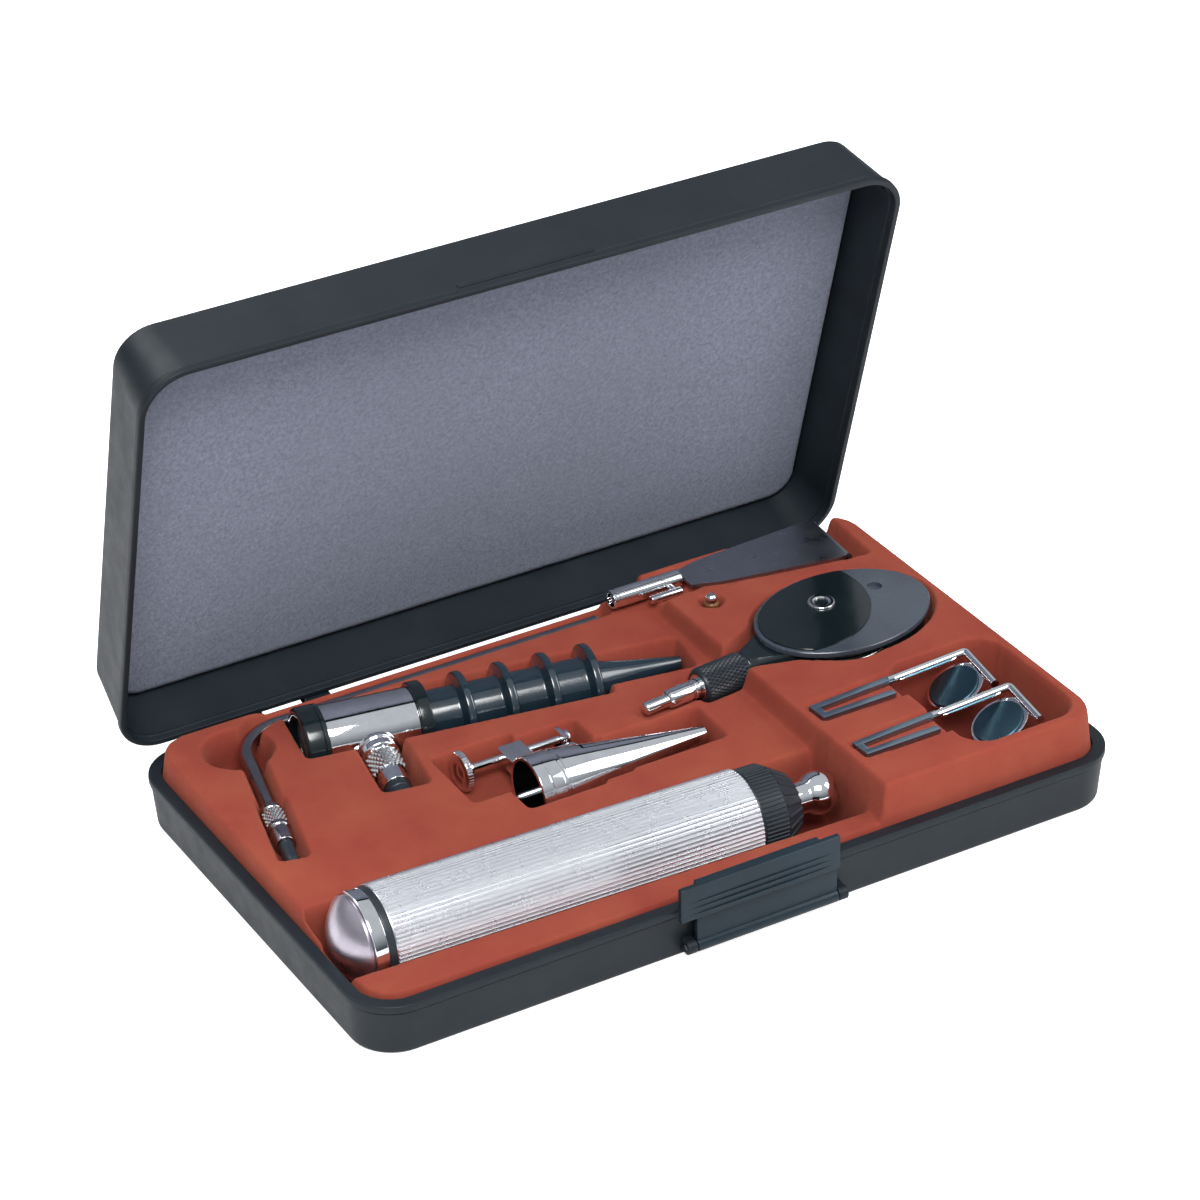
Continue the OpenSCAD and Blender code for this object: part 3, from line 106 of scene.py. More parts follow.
class LiningLook(bpy.types.PropertyGroup):
    """Sizes and colours of the flocked tray and the lid's foam"""

    cell: length("Tray grid", "Spacing of the points that carry the tray's shape", 0.4)
    soft: length("Edge softness", "How widely the tray's edges are rounded", 0.55)
    sheet: length("Sheet thickness", "Thickness of the tray's sheet", 0.8)
    flock: tint("Flock colour", "Colour of the flocked tray", (0.3254, 0.0748, 0.0432))
    flock_deep: tint("Flock shade", "Darker tone of the flock", (0.2043, 0.0351, 0.0238))
    foam: tint("Foam colour", "Colour of the lid's foam", (0.1914, 0.2108, 0.2698))


class HandleLook(bpy.types.PropertyGroup):
    """Sizes and colours of the battery handle"""

    radius: length("Radius", "Outer radius of the fluted sleeve", 14.3)
    sleeve: length("Sleeve length", "Length of the fluted sleeve", 115.8)
    flutes: number("Flutes", "Number of flutes round the sleeve", 68)
    teeth: number("Collar ridges", "Number of ridges round the switch collar", 64)
    aluminium: tint("Aluminium", "Colour of the fluted sleeve", (0.89, 0.9, 0.93))
    rose: tint("Cap", "Colour of the domed end cap", (0.66, 0.6, 0.68))


class InstrumentLook(bpy.types.PropertyGroup):
    """Sizes and colours shared by the instrument heads"""

    barrel: length("Otoscope barrel radius", "Outer radius of the otoscope's barrel", 10.5)
    wheel_teeth: number("Wheel teeth", "Number of ridges round the lens wheel", 84)
    chrome: tint("Chrome", "Colour of the bright chrome", (0.88, 0.89, 0.9))
    specula: tint("Specula", "Colour of the ear specula", (0.0085, 0.021, 0.031))
    plate: tint("Plate", "Colour of the ophthalmoscope's face plate", (0.0441, 0.0561, 0.0737))
    clip: tint("Mirror clips", "Colour of the mirrors' clips", (0.34, 0.45, 0.54))


class StageLook(bpy.types.PropertyGroup):
    """Floor, lights and camera"""

    floor: tint("Floor", "Colour of the floor", (0.9, 0.9, 0.905))
    key: FloatProperty(name="Key light", description="Power of the main soft light",
                       default=18.1, min=0.0, unit="POWER")
    dome: FloatProperty(name="Dome light", description="Strength of the light from all round",
                        default=0.522, min=0.0)
    glow: amount("Floor glow", "How bright the floor reads to the camera by itself", 0.9)
    lens: FloatProperty(name="Lens", description="Focal length of the camera",
                        default=128.45, min=10.0, unit="CAMERA")


def in_mm(group):
    """A property group's values, with its lengths in millimetres."""
    values = {}
    for key in type(group).__annotations__:
        value = getattr(group, key)
        is_length = group.bl_rna.properties[key].unit == "LENGTH"
        values[key] = value / MM if is_length else value
    return SimpleNamespace(**values)


# Places.


def turn(axis, degrees):
    return Matrix.Rotation(math.radians(degrees), 4, axis)


def shift(x, y, z):
    return Matrix.Translation((x, y, z))


AT_HANDLE = shift(-105.1, -42, 17.95) @ turn("Z", -2)
AT_OTOSCOPE = shift(-60.4, 48.9, 19.6) @ turn("Z", -9.3)
AT_STEM = AT_OTOSCOPE @ turn("Z", -90) @ turn("Y", 7)
AT_ARM = shift(-94, 66.3, 19.4)
AT_ARM_LEG = AT_ARM @ turn("Z", -103.2)
AT_NASAL = shift(-31, -4, 19)
AT_SCOPE = shift(85.6, 16.6, 0) @ turn("Z", 6)
AT_MIRRORS = [shift(49, -23 - 23 * i, 0) @ turn("Z", 3.5) for i in (0, 1)]
HINGE = (0, 76.8, 8.5)


def at_lid(look):
    return shift(*HINGE) @ Matrix.Rotation(-look.lid_open, 4, "X") @ shift(*(-v for v in HINGE))


# Mesh helpers.


def fillet(points, steps=4):
    """A polyline whose corners are rounded. A point is (x, y) or (x, y, radius)."""
    out = []
    for i, p in enumerate(points):
        here = Vector(p[:2])
        if len(p) < 3 or i in (0, len(points) - 1):
            out.append(here)
            continue
        before, after = Vector(points[i - 1][:2]) - here, Vector(points[i + 1][:2]) - here
        reach = min(p[2], before.length * 0.49, after.length * 0.49)
        half = before.angle(after) / 2
        start, end = here + before.normalized() * reach, here + after.normalized() * reach
        if half > 1.55:
            out.append(here)
            continue
        for k in range(steps + 1):
            t = k / steps
            out.append(start * (1 - t) ** 2 + here * 2 * t * (1 - t) + end * t ** 2)
    return [(v.x, v.y) for v in out]


def add_rings(bm, rings, closed, at):
    """Joins rings of points, each a list of vectors or one single point, into a skin."""
    made = [[bm.verts.new(at @ Vector(p)) for p in ring] for ring in rings]
    pairs = list(zip(made, made[1:])) + ([(made[-1], made[0])] if closed else [])
    for a, b in pairs:
        n = max(len(a), len(b))
        for i in range(n):
            j = (i + 1) % n
            corners = [a[i % len(a)], a[j % len(a)], b[j % len(b)], b[i % len(b)]]
            face = list(dict.fromkeys(corners))
            if len(face) > 2:
                bm.faces.new(face)
    if not closed:
        for ring in (made[0], made[-1]):
            if len(ring) > 2:
                bm.faces.new(ring)


def lathe(bm, at, profile, closed=False, segments=96, steps=4):
    """Turns (s, r) points round the local X axis."""
    rings = []
    for s, r in fillet(profile, steps):
        if r < 1e-5:
            rings.append([(s, 0, 0)])
            continue
        circle = [2 * math.pi * i / segments for i in range(segments)]
        rings.append([(s, r * math.cos(a), r * math.sin(a)) for a in circle])
    add_rings(bm, rings, closed, at)


def slab_ring(half_x, half_y, radius, z, steps=10):
    ring = []
    for k, (cx, cy) in enumerate(((1, 1), (-1, 1), (-1, -1), (1, -1))):
        for i in range(steps + 1):
            a = math.radians(90 * (k + i / steps))
            ring.append((cx * (half_x - radius) + radius * math.cos(a),
                         cy * (half_y - radius) + radius * math.sin(a), z))
    return ring


def rim_skin(bm, at, look, profile, steps=4):
    """A skin through rounded rectangles. The profile gives (inset from the rim, z)."""
    rings = [slab_ring(look.width / 2 - inset, look.depth / 2 - inset,
                       max(look.corner - inset, 0.8), z, 12)
             for inset, z in fillet(profile, steps)]
    add_rings(bm, rings, False, at)


def oval_skin(bm, at, a, b, profile, steps=3, segments=120):
    """A skin through ellipses. The profile gives (inset, z)."""
    circle = [2 * math.pi * i / segments for i in range(segments)]
    rings = [[((a - inset) * math.cos(t), (b - inset) * math.sin(t), z) for t in circle]
             for inset, z in fillet(profile, steps)]
    add_rings(bm, rings, False, at)


def block(bm, at, low, high, soft=0.3, segments=2):
    """A box between two corners, with rounded edges."""
    part = bmesh.new()
    low, high = Vector(low), Vector(high)
    bmesh.ops.create_cube(part, size=1.0, matrix=Matrix.Translation((low + high) / 2)
                          @ Matrix.Diagonal((*(high - low), 1)))
    if soft:
        bmesh.ops.bevel(part, geom=part.edges[:], offset=soft, segments=segments,
                        profile=0.6, affect="EDGES")
    part.transform(at)
    join(bm, part)


def join(bm, part):
    spare = bpy.data.meshes.new("spare")
    part.to_mesh(spare)
    part.free()
    bm.from_mesh(spare)
    bpy.data.meshes.remove(spare)


def sweep(bm, at, path, radius, segments=32):
    """A round bar with flat ends along a path in the local XY plane."""
    points = [Vector(p) for p in path]
    rings = []
    for i, p in enumerate(points):
        ahead = points[min(i + 1, len(points) - 1)] - points[max(i - 1, 0)]
        side = Vector((-ahead.y, ahead.x, 0)).normalized()
        circle = [2 * math.pi * k / segments for k in range(segments)]
        rings.append([p + radius * (side * math.cos(a) + Vector((0, 0, 1)) * math.sin(a))
                      for a in circle])
    add_rings(bm, rings, False, at)


def finish_mesh(bm):
    bmesh.ops.remove_doubles(bm, verts=bm.verts[:], dist=1e-4)
    bmesh.ops.recalc_face_normals(bm, faces=bm.faces[:])


def piece(name, bm, body, look, replaces=(), smooth=32):
    """Makes a mesh in metres from one in millimetres, and hangs it on its body."""
    finish_mesh(bm)
    bm.transform(Matrix.Scale(MM, 4))
    mesh = bpy.data.meshes.new(name)
    bm.to_mesh(mesh)
    bm.free()
    mesh.shade_smooth()
    mesh.set_sharp_from_angle(angle=math.radians(smooth))
    obj = bpy.data.objects.new(name, mesh)
    bpy.context.scene.collection.objects.link(obj)
    mesh.materials.append(FINISH[look])
    settle(obj, body, replaces)
    return obj


def settle(obj, body, replaces=()):
    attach(obj, body)
    if replaces:
        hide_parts(*replaces)


def baked(obj):
    """Applies an object's modifiers to its mesh."""
    graph = bpy.context.evaluated_depsgraph_get()
    mesh = bpy.data.meshes.new_from_object(obj.evaluated_get(graph))
    old = obj.data
    obj.modifiers.clear()
    obj.data = mesh
    bpy.data.meshes.remove(old)
    return obj


def carved(obj, cutters, operation="DIFFERENCE"):
    """Cuts an object with other meshes and keeps the cut faces smooth."""
    for cutter in cutters:
        mod = obj.modifiers.new("cut", "BOOLEAN")
        mod.operation, mod.solver, mod.object = operation, "EXACT", cutter
    baked(obj)
    for cutter in cutters:
        mesh = cutter.data
        bpy.data.objects.remove(cutter)
        bpy.data.meshes.remove(mesh)
    obj.data.shade_smooth()
    obj.data.set_sharp_from_angle(angle=math.radians(32))
    return obj


def cutter(bm):
    finish_mesh(bm)
    bm.transform(Matrix.Scale(MM, 4))
    mesh = bpy.data.meshes.new("cutter")
    bm.to_mesh(mesh)
    bm.free()
    obj = bpy.data.objects.new("cutter", mesh)
    bpy.context.scene.collection.objects.link(obj)
    return obj


def rod_cutter(at, radius, reach, segments=48):
    """A rod for cutting, from the local origin along X."""
    bm = bmesh.new()
    lathe(bm, at, [(0, 0), (0, radius), (reach, radius), (reach, 0)], False, segments)
    return cutter(bm)


def block_cutter(at, low, high):
    bm = bmesh.new()
    block(bm, at, low, high, 0)
    return cutter(bm)


def lathed(name, body, look, node, at, profile, segments=96, closed=False, steps=4):
    """A turned piece on a body. It replaces a CAD node unless node is None."""
    bm = bmesh.new()
    lathe(bm, at, profile, closed, segments, steps)
    return piece(name, bm, body, look, (node,) if node else ())


def softened(name, node, body, look, soft=0.25, segments=2):
    """A copy of a CAD node whose sharp edges are rounded."""
    bm = bmesh.new()
    bm.from_mesh(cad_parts[node].data)
    bm.transform(Matrix.Scale(1 / MM, 4))
    bmesh.ops.remove_doubles(bm, verts=bm.verts[:], dist=1e-3)
    bmesh.ops.dissolve_limit(bm, angle_limit=math.radians(2), verts=bm.verts[:],
                             edges=bm.edges[:])
    obj = piece(name, bm, body, look, (node,))
    mod = obj.modifiers.new("edges", "BEVEL")
    mod.width, mod.segments, mod.limit_method = soft * MM, segments, "ANGLE"
    mod.angle_limit = math.radians(35)
    mod.harden_normals = True
    return baked(obj)


def dress(node, look):
    """Gives a CAD node that stays its own finish."""
    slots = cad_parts[node].data.materials
    slots.clear()
    slots.append(FINISH[look])


# Repeated details.


def link(tree, source, output, target, socket):
    tree.links.new(source.outputs[output], target.inputs[socket])


def math_node(tree, operation, *values):
    node = tree.nodes.new("ShaderNodeMath")
    node.operation = operation
    for i, value in enumerate(values):
        if isinstance(value, (int, float)):
            node.inputs[i].default_value = value
        else:
            tree.links.new(value, node.inputs[i])
    return node.outputs[0]


def vector_node(tree, x=0.0, y=0.0, z=0.0):
    node = tree.nodes.new("ShaderNodeCombineXYZ")
    for socket, value in zip(node.inputs, (x, y, z)):
        if isinstance(value, (int, float)):
            socket.default_value = value
        else:
            tree.links.new(value, socket)
    return node.outputs[0]


RING_SIZES = (
    ("Count", "NodeSocketInt", 48), ("Rows", "NodeSocketInt", 1),
    ("Radius", "NodeSocketFloat", 0.01), ("Radius step", "NodeSocketFloat", 0.0),
    ("Start", "NodeSocketFloat", 0.0), ("Row pitch", "NodeSocketFloat", 0.001),
    ("Length", "NodeSocketFloat", 0.01), ("Height", "NodeSocketFloat", 0.0005),
    ("Width", "NodeSocketFloat", 0.0005), ("Tilt", "NodeSocketFloat", 0.0),
    ("Stagger", "NodeSocketFloat", 0.0), ("Finish", "NodeSocketMaterial", None),
)


def ring_tree(name, pointed):
    """A tree that sets small ridges, or points, in rows round the X axis."""
    tree = bpy.data.node_groups.new(name, "GeometryNodeTree")
    for label, kind, default in RING_SIZES:
        socket = tree.interface.new_socket(label, in_out="INPUT", socket_type=kind)
        if default is not None:
            socket.default_value = default
    tree.interface.new_socket("Geometry", in_out="OUTPUT", socket_type="NodeSocketGeometry")
    into, out = tree.nodes.new("NodeGroupInput"), tree.nodes.new("NodeGroupOutput")
    size = into.outputs

    index = tree.nodes.new("GeometryNodeInputIndex").outputs[0]
    row = math_node(tree, "FLOOR", math_node(tree, "DIVIDE", index, size["Count"]))
    step = math_node(tree, "DIVIDE", 2 * math.pi, size["Count"])
    odd = math_node(tree, "MODULO", row, 2.0)
    place = math_node(tree, "ADD", math_node(tree, "MODULO", index, size["Count"]),
                      math_node(tree, "MULTIPLY", odd, size["Stagger"]))
    angle_ = math_node(tree, "MULTIPLY", place, step)
    radius = math_node(tree, "ADD", size["Radius"],
                       math_node(tree, "MULTIPLY", row, size["Radius step"]))
    along = math_node(tree, "ADD", size["Start"],
                      math_node(tree, "MULTIPLY", row, size["Row pitch"]))

    points = tree.nodes.new("GeometryNodePoints")
    how_many = math_node(tree, "MULTIPLY", size["Count"], size["Rows"])
    tree.links.new(how_many, points.inputs["Count"])
    tree.links.new(vector_node(
        tree, along, math_node(tree, "MULTIPLY", radius, math_node(tree, "COSINE", angle_)),
        math_node(tree, "MULTIPLY", radius, math_node(tree, "SINE", angle_))),
        points.inputs["Position"])

    if pointed:
        shape = tree.nodes.new("GeometryNodeMeshCone")
        shape.inputs["Vertices"].default_value = 4
        shape.inputs["Radius Top"].default_value = 0.0
        shape.inputs["Radius Bottom"].default_value = 0.5
        shape.inputs["Depth"].default_value = 1.0
        first = (-math.pi / 2, 0.0, 0.0)
    else:
        shape = tree.nodes.new("GeometryNodeMeshCylinder")
        shape.inputs["Vertices"].default_value = 10
        shape.inputs["Radius"].default_value = 0.5
        shape.inputs["Depth"].default_value = 1.0
        first = (0.0, math.pi / 2, 0.0)
    upright = tree.nodes.new("GeometryNodeTransform")
    upright.inputs["Rotation"].default_value = first
    sized = tree.nodes.new("GeometryNodeTransform")
    tilted = tree.nodes.new("GeometryNodeTransform")
    link(tree, shape, "Mesh", upright, "Geometry")
    link(tree, upright, "Geometry", sized, "Geometry")
    tree.links.new(vector_node(tree, size["Length"], size["Height"], size["Width"]),
                   sized.inputs["Scale"])
    link(tree, sized, "Geometry", tilted, "Geometry")
    tree.links.new(vector_node(tree, 0.0, 0.0, size["Tilt"]), tilted.inputs["Rotation"])

    instances = tree.nodes.new("GeometryNodeInstanceOnPoints")
    link(tree, points, "Points", instances, "Points")
    link(tree, tilted, "Geometry", instances, "Instance")
    tree.links.new(vector_node(tree, angle_), instances.inputs["Rotation"])
    real = tree.nodes.new("GeometryNodeRealizeInstances")
    finish = tree.nodes.new("GeometryNodeSetMaterial")
    link(tree, instances, "Instances", real, "Geometry")
    link(tree, real, "Geometry", finish, "Geometry")
    tree.links.new(size["Finish"], finish.inputs["Material"])
    link(tree, finish, "Geometry", out, "Geometry")
    return tree


def ring_of(name, tree, at, body, look, **sizes):
    """Evaluates a ring tree with sizes in millimetres, and keeps the result as a plain mesh."""
    host = bpy.data.objects.new(name, bpy.data.meshes.new(name))
    bpy.context.scene.collection.objects.link(host)
    mod = host.modifiers.new("ring", "NODES")
    mod.node_group = tree
    labels = {k.replace("_", " ").capitalize(): v for k, v in sizes.items()}
    unknown = set(labels) - {row[0] for row in RING_SIZES}
    if unknown:
        raise ValueError(f"{name} has no size {unknown}")
    for item in tree.interface.items_tree:
        if item.in_out != "INPUT":
            continue
        if item.name == "Finish":
            mod[item.identifier] = FINISH[look]
        elif item.name in labels:
            plain = item.name in ("Count", "Rows", "Tilt", "Stagger")
            mod[item.identifier] = labels[item.name] * (1 if plain else MM)
    baked(host)
    host.data.transform(Matrix.Scale(MM, 4) @ at @ Matrix.Scale(1 / MM, 4))
    host.data.shade_smooth()
    host.data.set_sharp_from_angle(angle=math.radians(40))
    if not host.data.materials:
        host.data.materials.append(FINISH[look])
    settle(host, body)
    return host


# Finishes.


def shader(name):
    material = bpy.data.materials.new(name)
    material.use_nodes = True
    tree = material.node_tree
    return material, tree, tree.nodes["Principled BSDF"]


def coordinates(tree, scale=(1, 1, 1), turned=(0, 0, 0)):
    """Object coordinates in millimetres, stretched by scale."""
    source = tree.nodes.new("ShaderNodeTexCoord")
    mapping = tree.nodes.new("ShaderNodeMapping")
    mapping.inputs["Scale"].default_value = [v / MM for v in scale]
    mapping.inputs["Rotation"].default_value = [math.radians(v) for v in turned]
    tree.links.new(source.outputs["Object"], mapping.inputs["Vector"])
    return mapping.outputs["Vector"]


def noise(tree, vector, scale, detail=3.0, rough=0.55):
    node = tree.nodes.new("ShaderNodeTexNoise")
    node.inputs["Scale"].default_value = scale
    node.inputs["Detail"].default_value = detail
    node.inputs["Roughness"].default_value = rough
    tree.links.new(vector, node.inputs["Vector"])
    return node.outputs["Fac"]


def spread(tree, value, low, high, to_low, to_high):
    node = tree.nodes.new("ShaderNodeMapRange")
    ends = {"From Min": low, "From Max": high, "To Min": to_low, "To Max": to_high}
    for socket, end in ends.items():
        node.inputs[socket].default_value = end
    tree.links.new(value, node.inputs["Value"])
    return node.outputs["Result"]


def between(tree, value, first, second):
    node = tree.nodes.new("ShaderNodeMix")
    node.data_type = "RGBA"
    tree.links.new(value, node.inputs[0])
    for socket, colour in ((node.inputs[6], first), (node.inputs[7], second)):
        if isinstance(colour, tuple):
            socket.default_value = (*colour, 1)
        else:
            tree.links.new(colour, socket)
    return node.outputs[2]


def height_of(tree, vector):
    node = tree.nodes.new("ShaderNodeSeparateXYZ")
    tree.links.new(vector, node.inputs["Vector"])
    return node.outputs["Z"]


def bump(tree, principled, height, distance_mm, strength=1.0, under=None):
    node = tree.nodes.new("ShaderNodeBump")
    node.inputs["Strength"].default_value = strength
    node.inputs["Distance"].default_value = distance_mm * MM
    tree.links.new(height, node.inputs["Height"])
    if under is not None:
        tree.links.new(under, node.inputs["Normal"])
    tree.links.new(node.outputs["Normal"], principled.inputs["Normal"])
    return node.outputs["Normal"]


def shade(colour, factor):
    return tuple(min(1.0, c * factor) for c in colour)


def moulded(name, colour, roughness, grain=0.9, coat=0.0, grain_depth=0.035, shine=0.5):
    """Moulded plastic: a fine eroded grain, slight cloudiness and rubbed patches."""
    material, tree, bsdf = shader(name)
    here = coordinates(tree)
    cloud = noise(tree, here, 0.035, 4)
    tree.links.new(between(tree, spread(tree, cloud, 0.3, 0.7, 0, 1), shade(colour, 0.82),
                           shade(colour, 1.25)), bsdf.inputs["Base Color"])
    rub = noise(tree, here, 0.12, 5, 0.65)
    tree.links.new(spread(tree, rub, 0.3, 0.75, roughness - 0.05, roughness + 0.08),
                   bsdf.inputs["Roughness"])
    bump(tree, bsdf, noise(tree, here, grain, 3), grain_depth, 0.5)
    bsdf.inputs["Specular IOR Level"].default_value = shine
    bsdf.inputs["Coat Weight"].default_value = coat
    bsdf.inputs["Coat Roughness"].default_value = 0.2
    return material


def metal(name, colour, roughness, brush=(1, 1, 1), turned=(0, 0, 0), marks=0.5, depth=0.004,
          smudged=0.86):
    """Polished or brushed metal: faint scratches, smudges and small waves in the polish."""
    material, tree, bsdf = shader(name)
    here = coordinates(tree)
    lines = coordinates(tree, brush, turned)
    smudge = noise(tree, here, 0.16, 5, 0.6)
    tree.links.new(between(tree, spread(tree, smudge, 0.35, 0.75, 0, 1), tuple(colour),
                           shade(colour, smudged)), bsdf.inputs["Base Color"])
    tree.links.new(spread(tree, smudge, 0.3, 0.8, roughness, roughness * (1 + marks)),
                   bsdf.inputs["Roughness"])
    bsdf.inputs["Metallic"].default_value = 1.0
    bump(tree, bsdf, noise(tree, lines, 1.6, 4, 0.6), depth, 0.35)
    return material


def flocked(name, colour, deep):
    """Short dense flock: a velvet edge glow, soft patches where it is brushed, fibre grain, and
    painted shade low in the pockets.
    """
    material, tree, bsdf = shader(name)
    here = coordinates(tree)
    brushed = noise(tree, here, 0.045, 4, 0.55)
    fibre = noise(tree, here, 5.0, 2, 0.7)
    base = between(tree, spread(tree, brushed, 0.3, 0.7, 0, 1), shade(deep, 1.3), tuple(colour))
    # Painted shade: below 20 mm the flock is blended towards a dark maroon, most by 9 mm, as if
    # the pockets were shadowed.
    painted_pocket_shade = spread(tree, height_of(tree, here), 9, 20, 0.75, 0.0)
    base = between(tree, painted_pocket_shade, base, shade(deep, 0.5))
    tree.links.new(between(tree, spread(tree, fibre, 0.35, 0.75, 0.0, 0.4), base, tuple(deep)),
                   bsdf.inputs["Base Color"])
    bsdf.inputs["Roughness"].default_value = 0.95
    bsdf.inputs["Specular IOR Level"].default_value = 0.15
    bsdf.inputs["Sheen Weight"].default_value = 0.14
    bsdf.inputs["Sheen Roughness"].default_value = 0.45
    bsdf.inputs["Sheen Tint"].default_value = (1.0, 0.45, 0.3, 1)
    first = bump(tree, bsdf, noise(tree, here, 2.2, 3, 0.7), 0.18, 0.5)
    bump(tree, bsdf, fibre, 0.08, 0.6, first)
    return material


def open_foam(name, colour):
    """Fine open foam: mottled tone, pores with painted shade in them and a soft uneven skin."""
    material, tree, bsdf = shader(name)
    here = coordinates(tree)
    cells = tree.nodes.new("ShaderNodeTexVoronoi")
    cells.inputs["Scale"].default_value = 0.85
    tree.links.new(here, cells.inputs["Vector"])
    pore = spread(tree, cells.outputs["Distance"], 0.05, 0.32, 1.0, 0.0)
    mottle = noise(tree, here, 0.8, 6, 0.75)
    wide = noise(tree, here, 0.018, 3, 0.5)
    tone = between(tree, spread(tree, mottle, 0.35, 0.68, 0, 1), shade(colour, 0.72),
                   shade(colour, 1.27))
    tone = between(tree, spread(tree, wide, 0.35, 0.65, 0, 0.3), tone, shade(colour, 0.88))
    # Painted shade: a scattering of pores is darkened towards a third of the foam's colour, as if
    # shadowed inside.
    few = spread(tree, noise(tree, here, 0.21, 2), 0.58, 0.68, 0, 0.6)
    dark = math_node(tree, "MULTIPLY", pore, few)
    tree.links.new(between(tree, dark, tone, shade(colour, 0.35)), bsdf.inputs["Base Color"])
    bsdf.inputs["Roughness"].default_value = 0.92
    bsdf.inputs["Specular IOR Level"].default_value = 0.2
    bsdf.inputs["Sheen Weight"].default_value = 0.12
    first = bump(tree, bsdf, mottle, 0.2, 0.45)
    bump(tree, bsdf, pore, -0.25, 0.5, first)
    return material


def clear_glass(name, colour):
    material, tree, bsdf = shader(name)
    here = coordinates(tree)
    smear = noise(tree, here, 0.25, 3)
    tree.links.new(between(tree, spread(tree, smear, 0.4, 0.7, 0, 1), tuple(colour),
                           shade(colour, 0.92)), bsdf.inputs["Base Color"])
    tree.links.new(spread(tree, smear, 0.3, 0.8, 0.02, 0.06), bsdf.inputs["Roughness"])
    bsdf.inputs["Transmission Weight"].default_value = 0.9
    bsdf.inputs["IOR"].default_value = 1.5
    return material


def striped(name, colour, dark, scale):
    """Film or wire with soft bands along X."""
    material, tree, bsdf = shader(name)
    here = coordinates(tree)
    wave = tree.nodes.new("ShaderNodeTexWave")
    wave.inputs["Scale"].default_value = scale
    wave.inputs["Distortion"].default_value = 0.4
    tree.links.new(here, wave.inputs["Vector"])
    tree.links.new(between(tree, wave.outputs["Fac"], tuple(colour), tuple(dark)),
                   bsdf.inputs["Base Color"])
    bsdf.inputs["Roughness"].default_value = 0.4
    bump(tree, bsdf, noise(tree, here, 0.8, 2), 0.02, 0.4)
    return material


FINISH = {}


def make_finishes(scene):
    case, lining = scene.case_look, scene.lining_look
    handle, heads = scene.handle_look, scene.instrument_look
    chrome = tuple(heads.chrome)
    FINISH.update(
        shell=moulded("case_plastic", tuple(case.shell), case.gloss, 1.1, shine=0.28),
        latch=moulded("latch_plastic", tuple(case.latch), 0.36, 1.3, shine=0.3),
        flock=flocked("red_flock", tuple(lining.flock), tuple(lining.flock_deep)),
        foam=open_foam("lid_foam", tuple(lining.foam)),
        pin=metal("pin_steel", (0.55, 0.55, 0.56), 0.28, (0.15, 1, 1)),
        sleeve=metal("fluted_aluminium", tuple(handle.aluminium), 0.27, (0.05, 1, 1), marks=0.05,
                     depth=0.0002, smudged=0.97),
        rose=metal("rose_chrome", tuple(handle.rose), 0.26, (1, 0.6, 1), depth=0.002),
        chrome=metal("bright_chrome", chrome, 0.045, (0.25, 1, 1), depth=0.002),
        knurl=metal("knurled_chrome", shade(chrome, 0.92), 0.12, (1, 1, 1)),
        black=moulded("black_plastic", (0.015, 0.021, 0.027), 0.36, 1.8),
        gloss=moulded("black_gloss", (0.005, 0.0105, 0.012), 0.14, 0.6, 0.3, 0.006),
        specula=moulded("speculum_plastic", tuple(heads.specula), 0.17, 0.7, 0.6, 0.006, 0.8),
        wrap=striped("battery_wrap", (0.35, 0.22, 0.06), (0.05, 0.04, 0.03), 0.03),
        spring=metal("spring_wire", (0.6, 0.6, 0.6), 0.25, (1, 0.3, 1)),
        ivory=moulded("ivory_insulator", (0.7, 0.66, 0.55), 0.45, 1.2),
        brass=metal("brass_contact", (0.75, 0.52, 0.2), 0.22, (0.2, 1, 1)),
        lens=clear_glass("lens_glass", (0.9, 0.95, 0.97)),
        plate=moulded("plate_paint", tuple(heads.plate), 0.26, 2.2, 0.4, 0.003),
        steel=metal("dark_steel", (0.42, 0.44, 0.48), 0.26, (1, 0.1, 1), depth=0.0008),
        smoke=metal("smoke_chrome", (0.4, 0.38, 0.4), 0.13, (0.25, 1, 1), depth=0.001),
        blue=metal("blue_steel", tuple(heads.clip), 0.27, (0.1, 1, 1)),
        amber=moulded("amber_glaze", (0.17, 0.06, 0.02), 0.2, 1.0, 0.5, 0.01),
        mirror=metal("mirror_face", (0.07, 0.14, 0.18), 0.26, (1, 1, 1), depth=0.001),
    )
    FINISH["cap"] = FINISH["knurl"]


# Operators.


class BuildOperator(bpy.types.Operator):
    """Base of every operator here"""

    bl_options = {"REGISTER", "UNDO"}


